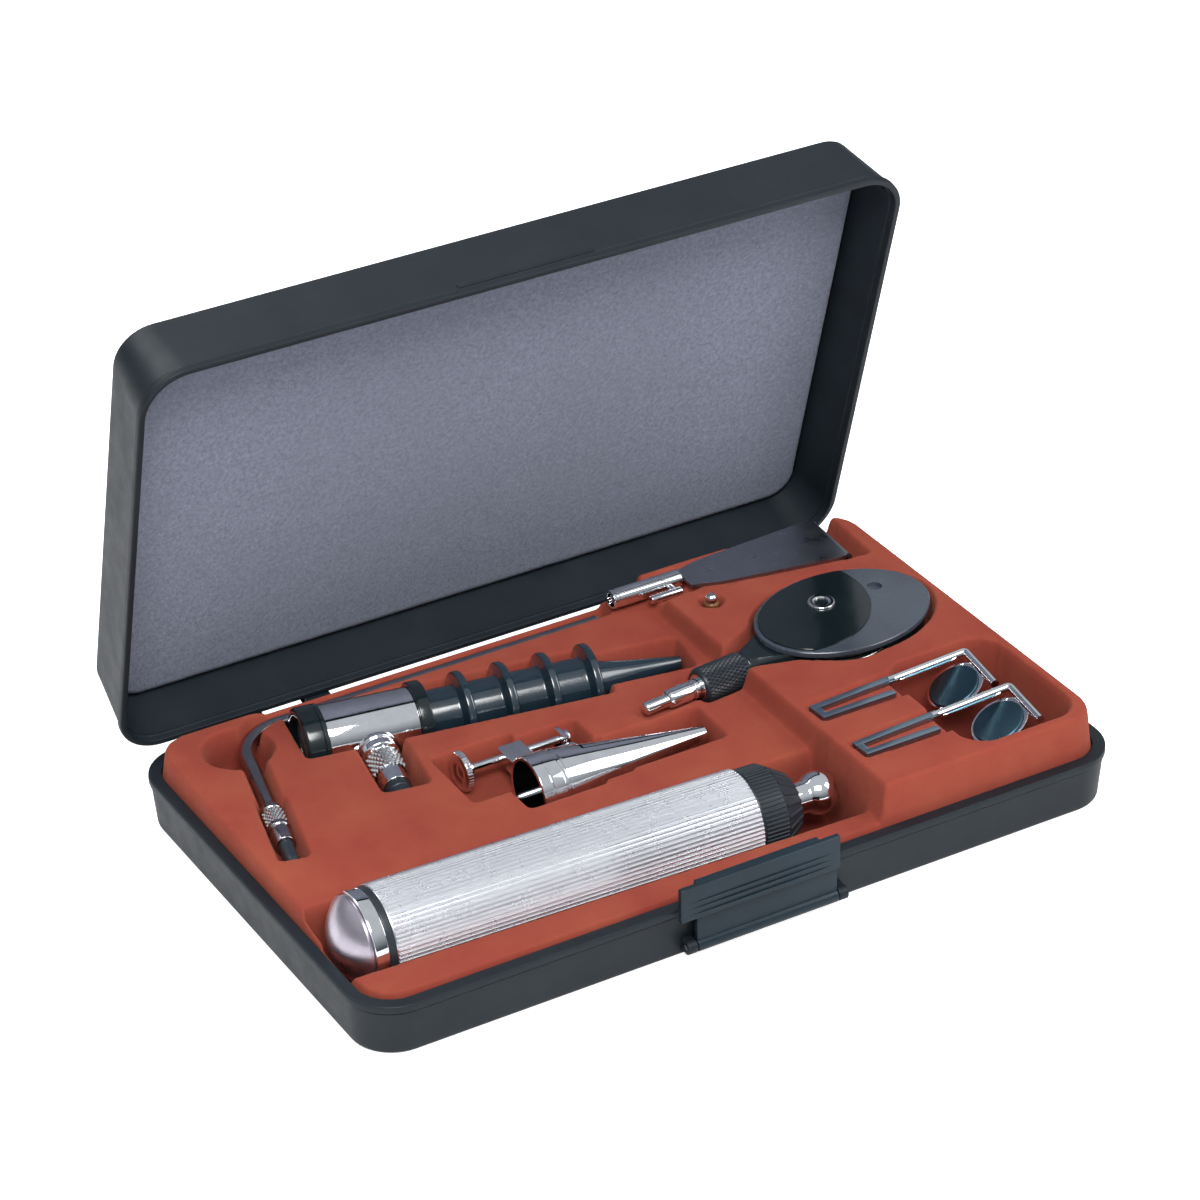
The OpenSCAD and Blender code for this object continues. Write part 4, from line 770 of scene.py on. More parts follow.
class CASE_OT_shells(BuildOperator):
    """Build the two moulded shells with their beads, knuckles and draft"""

    bl_idname = "carry_case.shells"
    bl_label = "Shells"

    def execute(self, context):
        look = in_mm(context.scene.case_look)
        self.base(look)
        self.lid(look)
        dress("hinge_pins", "pin")
        dress("latch_pin", "pin")
        return {"FINISHED"}

    def base(self, look):
        bm = bmesh.new()
        top, bead = look.rim, look.rim - 2.4
        rim_skin(bm, Matrix(), look, [
            (60, 0), (4.8, 0), (1.8, 0, 2.6), (1.55, 3.2), (0.62, bead - 0.5),
            (0.95, bead - 0.15, 0.2), (0.0, bead + 0.1, 0.35), (0.0, top, 0.55), (4.0, top, 0.35),
            (4.0, top - 1.6, 0.3), (2.6, top - 1.6), (3.8, 2.0, 1.2), (60, 2.0)])
        for side in (-1, 1):
            at = shift(side * 70, HINGE[1], HINGE[2])
            lathe(bm, at, [(-7, 1.04), (-7, 2.4, 0.35), (7, 2.4, 0.35), (7, 1.04)], True, 40)
            block(bm, at, (-7, -4.4, -2.4), (7, -1.1, 2.4), 0.3)
            ear = 23.5 if side > 0 else -26.5
            at = shift(ear, -76.2, 4.2)
            lathe(bm, at, [(0, 0.93), (0, 2.1, 0.3), (3, 2.1, 0.3), (3, 0.93)], True, 40)
            block(bm, at, (0, 1.0, -2.1), (3, 4, 2.1), 0.25)
        piece("base_shell_looks", bm, "base", "shell", ("base_shell",))

    def lid(self, look):
        bm = bmesh.new()
        at = at_lid(look)
        low = look.rim + 0.15
        top = look.rim + look.lid
        rim_skin(bm, at, look, [
            (60, top), (6.4, top), (3.4, top, 2.8), (3.1, top - 3.2), (0.62, low + 2.9),
            (0.95, low + 2.5, 0.2), (0.0, low + 2.2, 0.35), (0.0, low, 0.5), (2.0, low, 0.4),
            (2.05, low + 2.2, 0.3), (2.6, low + 2.5), (5.4, top - 2.2, 0.4), (60, top - 2.0)])
        for side in (-1, 1):
            for start in (7.3, -15.3):
                hinge = at @ shift(side * 70 + start, HINGE[1], HINGE[2])
                lathe(bm, hinge, [(0, 1.08), (0, 2.4, 0.35), (8, 2.4, 0.35), (8, 1.08)], True, 40)
                block(bm, hinge, (0, -1.5, 1.2), (8, 2.4, 14.0), 0.35)
                block(bm, hinge, (0, -3.1, 9.05), (8, 2.4, 14.0), 0.35)
        block(bm, at, (-25.2, -74.6, 20.0), (19.2, -73.8, 21.8), 0.2)
        piece("lid_shell_looks", bm, "lid", "shell", ("lid_shell",))


class CASE_OT_latch(BuildOperator):
    """Build the front latch with its ribbed grip"""

    bl_idname = "carry_case.latch"
    bl_label = "Latch"

    def execute(self, context):
        bm = bmesh.new()
        half = 23.2
        lathe(bm, shift(-half, -76.2, 4.2),
              [(0, 0.98), (0, 2.1, 0.3), (2 * half, 2.1, 0.3), (2 * half, 0.98)], True, 40)
        block(bm, Matrix(), (-half, -77.1, 4.2), (half, -75.3, 15.4), 0.45)
        block(bm, Matrix(), (-half - 6, -78.7, 14.6), (half, -76.7, 25.6), 0.6, 3)
        block(bm, Matrix(), (-half, -78.6, 14.7), (half, -75.35, 16.0), 0.3)
        block(bm, Matrix(), (-23.2, -77.0, 22.15), (17.2, -75.15, 25.5), 0.25)
        piece("latch_looks", bm, "latch", "latch", ("latch",))
        ring_of("latch_grip_ribs", ring_tree("grip_ribs", False),
                shift(-3, -78.7, 16.2) @ turn("Y", -90), "latch", "latch", count=1, rows=3,
                radius=0, row_pitch=2.0, length=0.9, height=0.9, width=47)
        return {"FINISHED"}


class CASE_OT_tray(BuildOperator):
    """Form the flocked tray sheet over the frame's pockets, with soft edges"""

    bl_idname = "carry_case.tray"
    bl_label = "Flocked tray"

    def execute(self, context):
        look = in_mm(context.scene.lining_look)
        heights, xs, ys = self.heights(look)
        self.sheet(look, heights, xs, ys)
        return {"FINISHED"}

    def heights(self, look):
        """The frame tray's upper face, read from above, with its steps drawn out softly."""
        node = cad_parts["tray_insert"]
        tree = BVHTree.FromPolygons([v.co for v in node.data.vertices],
                                    [p.vertices for p in node.data.polygons])
        low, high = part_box("tray_insert")
        edge = 1.2
        xs = np.arange(low.x / MM - edge, high.x / MM + edge + 0.01, look.cell)
        ys = np.arange(low.y / MM - edge, high.y / MM + edge + 0.01, look.cell)
        under = 14.2
        grid = np.full((len(ys), len(xs)), under)
        down, above = Vector((0, 0, -1)), high.z + 0.01
        for j, y in enumerate(ys):
            for i, x in enumerate(xs):
                hit = tree.ray_cast(Vector((x * MM, y * MM, above)), down)[0]
                if hit is not None:
                    grid[j, i] = hit.z / MM
        border_front, border_rear, border_reach, border_top = 69.3, 71.2, 112, 22.2
        rows, columns = np.meshgrid(ys, xs, indexing="ij")
        border = (rows > border_front) & (rows < border_rear) & (np.abs(columns) < border_reach)
        grid = np.where(border, np.maximum(grid, border_top), grid)
        shrink = 0.35
        reach = max(1, round(shrink / look.cell))
        wide = np.pad(grid, reach, mode="edge")
        lowest = grid.copy()
        for dy in range(-reach, reach + 1):
            for dx in range(-reach, reach + 1):
                if dx * dx + dy * dy <= reach * reach:
                    lowest = np.minimum(lowest, wide[reach + dy:reach + dy + len(ys),
                                                     reach + dx:reach + dx + len(xs)])
        sigma = look.soft / look.cell
        span = int(math.ceil(3 * sigma))
        kernel = np.exp(-0.5 * (np.arange(-span, span + 1) / sigma) ** 2)
        kernel /= kernel.sum()
        blurred = np.pad(lowest, span, mode="edge")
        for axis in (0, 1):
            blurred = np.apply_along_axis(np.convolve, axis, blurred, kernel, "valid")
        return blurred, xs, ys

    def sheet(self, look, heights, xs, ys):
        rows, columns = heights.shape
        gx, gy = np.meshgrid(xs, ys)
        points = np.stack([gx, gy, heights], axis=-1).reshape(-1, 3) * MM
        index = np.arange(rows * columns).reshape(rows, columns)
        quads = np.stack([index[:-1, :-1], index[:-1, 1:], index[1:, 1:], index[1:, :-1]],
                         axis=-1).reshape(-1, 4)
        half_x, half_y, radius = 121.0, 71.0, 11.0
        centre = points[quads].mean(axis=1)[:, :2] / MM
        q = np.abs(centre) - (half_x - radius, half_y - radius)
        outside = np.hypot(np.maximum(q[:, 0], 0), np.maximum(q[:, 1], 0)) - radius
        quads = quads[outside < 0.35]
        mesh = bpy.data.meshes.new("tray_sheet")
        mesh.from_pydata(points.tolist(), [], quads.tolist())
        bm = bmesh.new()
        bm.from_mesh(mesh)
        bmesh.ops.delete(bm, geom=[v for v in bm.verts if not v.link_faces], context="VERTS")
        bm.to_mesh(mesh)
        bm.free()
        obj = bpy.data.objects.new("tray_sheet", mesh)
        bpy.context.scene.collection.objects.link(obj)
        most_triangles = 84000
        lean = obj.modifiers.new("lean", "DECIMATE")
        lean.ratio = min(1.0, most_triangles / (2 * len(quads)))
        baked(obj)
        thick = obj.modifiers.new("thick", "SOLIDIFY")
        thick.thickness, thick.offset = look.sheet * MM, -1
        baked(obj)
        obj.data.shade_smooth()
        obj.data.materials.append(FINISH["flock"])
        settle(obj, "base", ("tray_insert",))


class CASE_OT_foam(BuildOperator):
    """Build the lid's foam pad with a crowned edge and an uneven skin"""

    bl_idname = "carry_case.foam"
    bl_label = "Lid foam"

    def execute(self, context):
        case = in_mm(context.scene.case_look)
        face, back = 32.85, 39.9
        half_x, half_y, radius, crown = 119.6, 69.6, 9.5, 2.6
        step = 1.3
        nx, ny = round(2 * half_x / step), round(2 * half_y / step)
        rng = np.random.default_rng(7)
        waves = rng.uniform(-1, 1, (14, 3))
        dents = [(rng.uniform(-95, 95), rng.uniform(-52, 52), rng.uniform(1.6, 3.4),
                  rng.uniform(0.1, 0.35)) for _ in range(26)]
        bm = bmesh.new()
        grid = []
        for j in range(ny + 1):
            line = []
            for i in range(nx + 1):
                u, v = 2 * i / nx - 1, 2 * j / ny - 1
                x, y = self.rounded(u * half_x, v * half_y, half_x, half_y, radius)
                inside = self.depth(x, y, half_x, half_y, radius)
                t = min(1.0, max(0.0, inside / crown))
                z = face + (1 - math.sqrt(1 - (1 - t) ** 2)) * crown
                z += 0.16 * sum(math.sin(x * 0.05 * (k + 1) * a + y * 0.07 * b + 6 * c)
                                for k, (a, b, c) in enumerate(waves)) / 6 * t + 0.18 * t
                for dx, dy, size, deep in dents:
                    z += deep * math.exp(-((x - dx) ** 2 + (y - dy) ** 2) / (size * size)) * t
                line.append(bm.verts.new((x, y, max(z, face))))
            grid.append(line)
        for a, b in zip(grid, grid[1:]):
            for i in range(nx):
                bm.faces.new((a[i], a[i + 1], b[i + 1], b[i]))
        outline = grid[0][:-1] + [row[-1] for row in grid[:-1]] + grid[-1][:0:-1] \
            + [row[0] for row in grid[:0:-1]]
        rear = [bm.verts.new((p.co.x, p.co.y, back)) for p in outline]
        for k, p in enumerate(outline):
            n = (k + 1) % len(outline)
            bm.faces.new((p, outline[n], rear[n], rear[k]))
        bm.faces.new(rear)
        bm.transform(at_lid(case))
        pad = piece("lid_foam_pad", bm, "lid", "foam", ("lid_foam",), 60)
        return {"FINISHED"}

    @staticmethod
    def rounded(x, y, half_x, half_y, radius):
        """Moves a point of a rectangle's grid into the rounded corner."""
        cx, cy = half_x - radius, half_y - radius
        ox, oy = abs(x) - cx, abs(y) - cy
        if ox > 0 and oy > 0:
            far = max(ox, oy)
            scale = far / math.hypot(ox, oy)
            x = math.copysign(cx + ox * scale, x)
            y = math.copysign(cy + oy * scale, y)
        return x, y

    @staticmethod
    def depth(x, y, half_x, half_y, radius):
        ox, oy = abs(x) - half_x + radius, abs(y) - half_y + radius
        return radius - math.hypot(max(ox, 0), max(oy, 0)) - min(max(ox, oy), 0)


class CASE_OT_handle(BuildOperator):
    """Build the battery handle: cap, fluted sleeve, switch collar and ball socket"""

    bl_idname = "carry_case.handle"
    bl_label = "Battery handle"

    def execute(self, context):
        look = in_mm(context.scene.handle_look)
        r, at = look.radius, AT_HANDLE
        inner = r - 1
        ridges = ring_tree("ridges", False)
        lathed("handle_sleeve_tube", "handle", "sleeve", "handle_sleeve", at, [
            (0, inner), (0, r - 0.6, 0.2), (look.sleeve, r - 0.6, 0.2), (look.sleeve, inner)
        ], 128, closed=True)
        ring_of("handle_sleeve_flutes", ridges, at, "handle", "sleeve", count=look.flutes,
                radius=r - 0.5, start=look.sleeve / 2, length=look.sleeve - 0.6, height=1.0,
                width=0.9)
        lathed("handle_seal", "handle", "black", "handle_seal_ring", at, [
            (-2.4, inner), (-2.4, r - 0.25, 0.35), (-0.02, r - 0.25, 0.35), (-0.02, inner)
        ], 128, closed=True)
        band = r - 0.1
        lathed("end_cap_band", "handle_cap", "chrome", "handle_end_cap", at, [
            (4, 0), (4, inner - 0.06, 0.3), (-2.44, inner - 0.06), (-2.44, band, 0.3),
            (-6.4, band, 0.45), (-6.4, band - 0.7), (-6.0, band - 0.8), (-6.0, 0)], 128)
        ball = (band * band + 7.4 * 7.4) / (2 * 7.4)
        edge = band - 0.85
        dome = [(-6.1, 0), (-6.1, edge - 0.2, 0.2)]
        top = math.asin(edge / ball)
        for k in range(15):
            a = top * (1 - k / 14)
            dome.append((-13.82 + ball * (1 - math.cos(a)), ball * math.sin(a)))
        lathed("end_cap_dome", "handle_cap", "rose", None, at, dome, 128)

        wide = r - 0.7
        lathed("switch_collar_core", "handle_switch", "black", "switch_collar", at, [
            (116.0, 7.06), (116.0, wide - 0.5, 0.4), (117.0, wide - 0.45),
            (124.0, wide - 0.45, 0.6), (131.5, 8.3, 0.5), (131.5, 7.06)], 96, closed=True)
        ring_of("switch_collar_ridges", ridges, at, "handle_switch", "black", count=look.teeth,
                radius=wide - 0.42, start=120.4, length=7.2, height=0.8, width=0.8)
        slope = math.atan2(wide - 0.45 - 8.3, 7.5)
        ring_of("switch_collar_teeth", ridges, at, "handle_switch", "black", count=22,
                radius=(wide + 7.7) / 2 - 0.2, start=127.8, length=7.6, height=1.1, width=1.5,
                tilt=-slope)

        bm = bmesh.new()
        ball_s, nose_r = 141.0, 6.5
        nose = [(112.6, 2.44), (112.6, 13.26), (115.8, 13.26), (115.8, 7.0), (131.5, 7.0, 0.3),
                (131.5, 4.8, 0.3), (136.2, 4.8)]
        first, last = math.acos(-4.3 / nose_r), math.acos(4.9 / nose_r)
        for k in range(25):
            a = first + (last - first) * k / 24
            nose.append((ball_s + nose_r * math.cos(a), nose_r * math.sin(a)))
        nose += [(145.9, 4.0, 0.2), (137.9, 4.0), (137.9, 2.44)]
        lathe(bm, at, nose, True, 96)
        obj = piece("socket_nose", bm, "handle", "chrome", ("handle_socket",))
        bite = at @ shift(145.9, 0, 0) @ turn("X", 56) @ turn("Y", -90)
        carved(obj, [rod_cutter(bite, 2.3, 12)])
        for node in ("battery_rear", "battery_front"):
            dress(node, "wrap")
        dress("battery_spring", "spring")
        dress("contact_bush", "ivory")
        dress("contact_pin", "brass")
        return {"FINISHED"}


class CASE_OT_otoscope(BuildOperator):
    """Build the otoscope head, its stem and the row of ear specula"""

    bl_idname = "carry_case.otoscope"
    bl_label = "Otoscope and specula"

    def execute(self, context):
        look = in_mm(context.scene.instrument_look)
        at, r = AT_OTOSCOPE, look.barrel
        lathed("otoscope_barrel_tube", "otoscope", "chrome", "otoscope_barrel", at, [
            (-14, r - 1.4), (-14, r, 0.3), (14, r, 0.3), (14, r - 1.4)], 128, closed=True)
        lathed("otoscope_bezel_ring", "otoscope", "gloss", "otoscope_bezel", at, [
            (-11.6, 7.2), (-11.6, 9.0), (-14.02, 9.0), (-14.02, 11.4, 0.4), (-15.2, 11.4),
            (-15.5, 11.15), (-15.8, 11.4), (-21, 11.4, 1.2), (-21, 8.9, 0.5), (-20.2, 8.2),
            (-16.5, 8.2), (-16.5, 7.2)], 128, closed=True)
        lathed("magnifier_glass", "otoscope", "lens", "magnifier_lens", at, [
            (-19.95, 0), (-19.6, 4.5), (-18.9, 8.1), (-17.6, 8.1), (-17.6, 0)], 96, steps=6)
        lathed("otoscope_ring", "otoscope", "gloss", "otoscope_front_ring", at, [
            (14.02, 7.9), (14.02, 11.7, 0.5), (17.98, 11.7, 0.5), (17.98, 7.9)], 128, closed=True)
        dress("otoscope_nose", "black")
        self.stem()
        self.specula(at)
        return {"FINISHED"}

    def stem(self):
        lathed("otoscope_stem_body", "otoscope", "chrome", "otoscope_stem", AT_STEM, [
            (9.3, 0), (9.3, 6.6), (10.6, 6.6, 0.3), (11.0, 6.0, 0.3), (13.4, 6.0, 0.5),
            (14.0, 4.8, 0.2), (14.6, 4.7), (21.4, 4.7), (22.1, 4.4, 0.3), (27.9, 4.4, 0.3),
            (27.9, 0)], 96)
        ring_of("otoscope_stem_knurl", ring_tree("stem_knurl", True), AT_STEM, "otoscope", "knurl",
                count=22, rows=7, radius=4.85, start=14.8, row_pitch=1.1, length=2.0, height=0.75,
                width=1.35, stagger=0.5)
        lathed("otoscope_contact_end", "otoscope", "black", "otoscope_contact", AT_STEM, [
            (27.95, 0), (27.95, 4.0, 0.25), (30.2, 4.0), (30.5, 3.7), (30.9, 3.7), (31.2, 3.95),
            (33.8, 3.9, 0.4), (36.0, 3.0, 0.5), (36.0, 0)], 64)

    def specula(self, at):
        for k in range(4):
            s = 28.5 + 13.4 * k
            lathed(f"speculum_{k + 1}", "ear_specula", "specula", f"ear_speculum_{k + 1}",
                   at @ shift(s, 0, 0), [
                (-10.38, 7.3), (-10.38, 8.1, 0.25), (-0.9, 8.1, 0.6), (-0.2, 10.6, 0.4),
                (0.0, 11.9, 0.5), (2.3, 11.9, 0.7), (2.98, 9.8, 0.4), (2.5, 7.2, 0.8),
                (3.0, 6.2, 0.6), (14, 4.2, 3), (31.0, 2.0, 0.3), (31.0, 1.3), (2.0, 5.4, 1.0),
                (1.0, 5.4), (-1.4, 7.3, 0.5)], 112, closed=True)


class CASE_OT_arm_lamp(BuildOperator):
    """Build the bent tube lamp with its knurled fitting"""

    bl_idname = "carry_case.arm_lamp"
    bl_label = "Bent arm lamp"

    def execute(self, context):
        tangent, bend, turned = 12.683, 16.0, 76.8
        path = [(122, 0, 0), (tangent + 30, 0, 0), (tangent + 1, 0, 0)]
        for k in range(25):
            a = math.radians(90 + turned * k / 24)
            path.append((tangent + bend * math.cos(a), bend * (math.sin(a) - 1), 0))
        way = Vector((math.cos(math.radians(-103.2)), math.sin(math.radians(-103.2)), 0))
        path += [tuple(way * d) for d in (tangent + 1, 30, 43.9)]
        bm = bmesh.new()
        sweep(bm, AT_ARM, path, 2.4, 48)
        piece("arm_tube_bar", bm, "bent_arm_lamp", "smoke", ("arm_tube",))
        lathed("arm_fitting_body", "bent_arm_lamp", "smoke", "arm_fitting", AT_ARM_LEG, [
            (41, 2.3), (41, 3.1, 0.3), (42, 3.4, 0.2), (43.4, 3.4, 0.2), (43.7, 3.05),
            (50.4, 3.05), (50.8, 3.4, 0.2), (52.4, 3.4, 0.2), (52.8, 2.9), (54.0, 2.9),
            (54.3, 3.3, 0.3), (60, 3.0, 0.4), (60, 0)], 64)
        ring_of("arm_fitting_knurl", ring_tree("fitting_knurl", True), AT_ARM_LEG, "bent_arm_lamp",
                "knurl", count=18, rows=7, radius=3.05, start=44.2, row_pitch=0.98, length=1.7,
                height=0.5, width=1.05, stagger=0.5)
        lathed("arm_contact_end", "bent_arm_lamp", "black", "arm_contact", AT_ARM_LEG, [
            (60.02, 0), (60.02, 2.2, 0.2), (68.5, 2.2, 0.3), (70, 1.6, 0.3), (70, 0)], 48)
        dress("arm_lamp", "lens")
        return {"FINISHED"}


class CASE_OT_nasal(BuildOperator):
    """Build the nasal speculum: viewing ring, split funnel, pivot and thumbscrew"""

    bl_idname = "carry_case.nasal"
    bl_label = "Nasal speculum"

    def funnel(self, bm):
        lathe(bm, AT_NASAL, [
            (-4.5, 9.3), (-4.5, 10.5, 0.3), (-1.2, 10.5), (-0.9, 10.25), (-0.6, 10.5),
            (3.2, 10.5, 0.3), (3.5, 9.8), (4.5, 9.8, 0.2), (4.8, 10.3, 0.2), (55, 2.3, 0.4),
            (55, 1.1), (4.5, 9.1)], True, 160)

    def execute(self, context):
        far_side = 14.0
        bm = bmesh.new()
        self.funnel(bm)
        body = piece("nasal_body_cone", bm, "nasal_speculum", "chrome", ("nasal_body",))
        carved(body, [block_cutter(AT_NASAL, (far_side - 0.5, -0.2, -20), (70, 30, 20))])
        bm = bmesh.new()
        for z in (2.3, -3.7):
            block(bm, AT_NASAL, (5.5, 8.8, z), (16, 11.7, z + 1.4), 0.25)
            lathe(bm, AT_NASAL @ shift(16, 9.88, z) @ turn("Y", -90),
                  [(0, 0), (0, 1.5, 0.2), (1.4, 1.5, 0.2), (1.4, 0)], False, 40)
        block(bm, AT_NASAL, (-4, 9.7, -0.6), (4, 19.6, 4.6), 0.7, 3)
        piece("nasal_body_lugs", bm, "nasal_speculum", "chrome")
        lathed("nasal_pivot", "nasal_speculum", "chrome", "nasal_pivot_pin",
               AT_NASAL @ shift(16, 9.88, -3.9) @ turn("Y", -90), [
            (0, 0), (0, 1.2, 0.2), (0.3, 1.2), (0.3, 0.8), (7.5, 0.8), (7.5, 1.25, 0.1),
            (7.9, 1.1, 0.2), (7.9, 0)], 32)

        bm = bmesh.new()
        self.funnel(bm)
        blade = piece("nasal_blade_half", bm, "nasal_moving_blade", "chrome", ("nasal_blade",))
        moving = block_cutter(AT_NASAL, (far_side + 0.3, 0.2, -20), (70, 30, 20))
        carved(blade, [moving], "INTERSECT")
        bm = bmesh.new()
        lathe(bm, AT_NASAL @ shift(16, 9.88, -2) @ turn("Y", -90),
              [(0, 0), (0, 1.8, 0.2), (4, 1.8, 0.2), (4, 0)], False, 40)
        block(bm, AT_NASAL, (15.2, 7.6, -2), (18.2, 10.0, 2), 0.3)
        block(bm, AT_NASAL, (15.2, 9.6, -2), (16.8, 19.6, 2), 0.35)
        block(bm, AT_NASAL, (15.2, 13.4, -2), (16.8, 19.6, 4.6), 0.35)
        piece("nasal_blade_arm", bm, "nasal_moving_blade", "chrome")

        at = AT_NASAL @ shift(0, 17, 2)
        bm = bmesh.new()
        lathe(bm, at, [(-18, 0), (-18, 1.6), (-17.7, 2.2), (-18, 2.9), (-18, 6, 0.5),
                       (-16, 6, 0.5), (-16, 2.6, 0.3), (-14.1, 2.4, 0.2), (-14.1, 1.25), (17, 1.0),
                       (17.2, 2.2, 0.2), (18.4, 2.2, 0.3), (18.4, 0)], False, 64)
        thread = [(-13.9, 0.9)]
        for k in range(46):
            thread += [(-13.6 + 0.64 * k, 0.95), (-13.28 + 0.64 * k, 1.2)]
        lathe(bm, at, [(-13.9, 0), *thread, (16.9, 0.9), (16.9, 0)], False, 32)
        piece("thumbscrew_body", bm, "nasal_screw", "chrome", ("nasal_thumbscrew",))
        ring_of("thumbscrew_serration", ring_tree("serration", False), at, "nasal_screw", "knurl",
                count=40, radius=5.95, start=-17, length=1.5, height=0.3, width=0.5)
        return {"FINISHED"}


class CASE_OT_ophthalmoscope(BuildOperator):
    """Build the ophthalmoscope: oval head, viewing disc, lens wheel, collar and connector"""

    bl_idname = "carry_case.ophthalmoscope"
    bl_label = "Ophthalmoscope"

    def execute(self, context):
        look = in_mm(context.scene.instrument_look)
        self.housing()
        self.face()
        self.wheel(look)
        self.stem()
        dress("wheel_axle", "pin")
        return {"FINISHED"}

    def housing(self):
        bm = bmesh.new()
        oval_skin(bm, AT_SCOPE, 28.2, 20.5, [(20, 20.2), (3.0, 20.2, 2.0), (0, 22.2, 2.0),
                                             (0, 29.18), (20, 29.18)])
        head = piece("scope_head", bm, "ophthalmoscope", "gloss", ("ophthalmoscope_housing",))
        wheel_room = AT_SCOPE @ shift(-6.5, -4.5, 24.4) @ turn("Y", -90)
        sight = AT_SCOPE @ shift(-3, 6.4, 19) @ turn("Y", -90)
        carved(head, [rod_cutter(wheel_room, 17.4, 3.6, 96), rod_cutter(sight, 2.2, 12)])
        bm = bmesh.new()
        lathe(bm, AT_SCOPE @ shift(0, 0, 24.6), [
            (-38.6, 0), (-38.6, 5.2, 0.4), (-36, 5.6, 1), (-31, 7.2, 2), (-18, 13.0, 2), (-17, 0)
        ], False, 96)
        obj = piece("scope_neck", bm, "ophthalmoscope", "gloss")
        carved(obj, [block_cutter(AT_SCOPE, (-40, -20, 20.22), (-14, 20, 29.16))], "INTERSECT")

    def face(self):
        bm = bmesh.new()
        oval_skin(bm, AT_SCOPE, 29.5, 21.8, [(20, 29.2), (0, 29.2, 0.3), (0, 31.0, 0.6),
                                             (20, 31.0)])
        plate = piece("scope_plate", bm, "ophthalmoscope", "plate", ("ophthalmoscope_plate",))
        index_hole = AT_SCOPE @ shift(16.7, 4.9, 29.7) @ turn("Y", -90)
        sight = AT_SCOPE @ shift(-3, 6.4, 28) @ turn("Y", -90)
        carved(plate, [rod_cutter(index_hole, 2.3, 5, 40), rod_cutter(sight, 2.9, 5)])
        bm = bmesh.new()
        oval_skin(bm, AT_SCOPE, 28.3, 20.6, [(20, 31.02), (0, 31.02), (0, 31.6, 0.25),
                                             (20, 31.6)])
        disc = piece("scope_viewing_disc", bm, "ophthalmoscope", "gloss", ("viewing_disc",))
        round_edge = AT_SCOPE @ shift(-13.3, 12.9, 30) @ turn("Y", -90)
        carved(disc, [rod_cutter(round_edge, 27.3, 3, 160)], "INTERSECT")
        lathed("scope_eyelet", "ophthalmoscope", "chrome", "viewing_eyelet",
               AT_SCOPE @ shift(-3, 6.4, 0) @ turn("Y", -90), [
            (29.25, 2.2), (29.25, 2.86), (31.62, 2.86), (31.62, 4.3, 0.15), (32.3, 4.1, 0.3),
            (32.3, 2.7, 0.2), (31.9, 2.2)], 64, closed=True)

    def wheel(self, look):
        at = AT_SCOPE @ shift(-6.5, -4.5, 24.8) @ turn("Y", -90)
        wheel = lathed("lens_wheel_disc", "lens_disc", "knurl", "lens_wheel", at, [
            (0, 0), (0, 16.6, 0.2), (0.5, 16.75), (2.3, 16.75), (2.8, 16.6, 0.2), (2.8, 0)], 128)
        reach = math.hypot(3.5, 10.9)
        start = math.degrees(math.atan2(10.9, 3.5))
        holes = []
        for i in range(16):
            hole = AT_SCOPE @ shift(-6.5, -4.5, 23.8) @ turn("Z", start + 22.5 * i)
            holes.append(rod_cutter(hole @ shift(reach, 0, 0) @ turn("Y", -90), 1.8, 5, 24))
        carved(wheel, holes)
        ring_of("lens_wheel_teeth", ring_tree("wheel_teeth", False), at, "lens_disc", "knurl",
                count=look.wheel_teeth, radius=16.62, start=1.4, length=2.5, height=0.72,
                width=0.8)

    def stem(self):
        at = AT_SCOPE @ shift(0, 0, 24.6)
        lathed("scope_collar", "ophthalmoscope", "black", "stem_collar", at, [
            (-55, 4.04), (-55, 5.0, 0.4), (-54, 5.35), (-39.6, 5.35), (-38.9, 5.1, 0.3),
            (-38.1, 4.9, 0.2), (-38.1, 4.04)], 80, closed=True)
        ring_of("scope_collar_ridges", ring_tree("collar_ridges", True), at, "ophthalmoscope",
                "black", count=30, rows=13, radius=5.33, start=-53.4, row_pitch=1.12, length=1.9,
                height=0.42, width=1.05, stagger=0.5)
        lathed("scope_connector", "ophthalmoscope", "chrome", "ophthalmoscope_connector", at, [
            (-36, 0), (-36, 4.0), (-55.0, 4.0), (-55.02, 3.0), (-57.2, 3.0, 0.2), (-57.5, 2.6),
            (-58.3, 2.6), (-58.6, 3.0, 0.2), (-65.6, 3.0, 0.3), (-66.5, 2.4, 0.2), (-66.7, 2.0),
            (-71.5, 2.0), (-74.4, 2.0, 0.5), (-75, 1.3, 0.3), (-75, 0)], 64)


class CASE_OT_tongue(BuildOperator):
    """Build the tongue depressor: chrome clip tube, screw bar and blade"""

    bl_idname = "carry_case.tongue"
    bl_label = "Tongue depressor"

    def execute(self, context):
        at = shift(31.5, 63, 28.2)
        lathed("tongue_tube", "tongue_depressor", "chrome", "tongue_clip_tube", at, [
            (2.4, 0), (2.4, 2.0), (0.1, 2.1), (0, 2.9, 0.2), (1.0, 3.0), (1.3, 2.75), (1.9, 2.75),
            (2.2, 3.0), (17, 3.0), (17.3, 2.8), (17.9, 2.8), (18.2, 3.0), (24.2, 3.0, 0.4),
            (24.48, 2.4, 0.2), (24.48, 0)], 80)
        bm = bmesh.new()
        bar = shift(42, 56.6, 28.0)
        lathe(bm, bar, [(0, 0), (0, 1.3, 0.3), (11, 1.3, 0.3), (11, 0)], False, 40)
        lathe(bm, bar @ shift(9, 0, 0) @ turn("Z", 90), [(0, 0), (0, 1.0), (3.7, 1.0), (3.7, 0)],
              False, 32)
        piece("tongue_screw", bm, "tongue_depressor", "chrome", ("tongue_clip_screw",))
        softened("tongue_blade_plate", "tongue_blade", "tongue_depressor", "steel", 0.22)
        return {"FINISHED"}


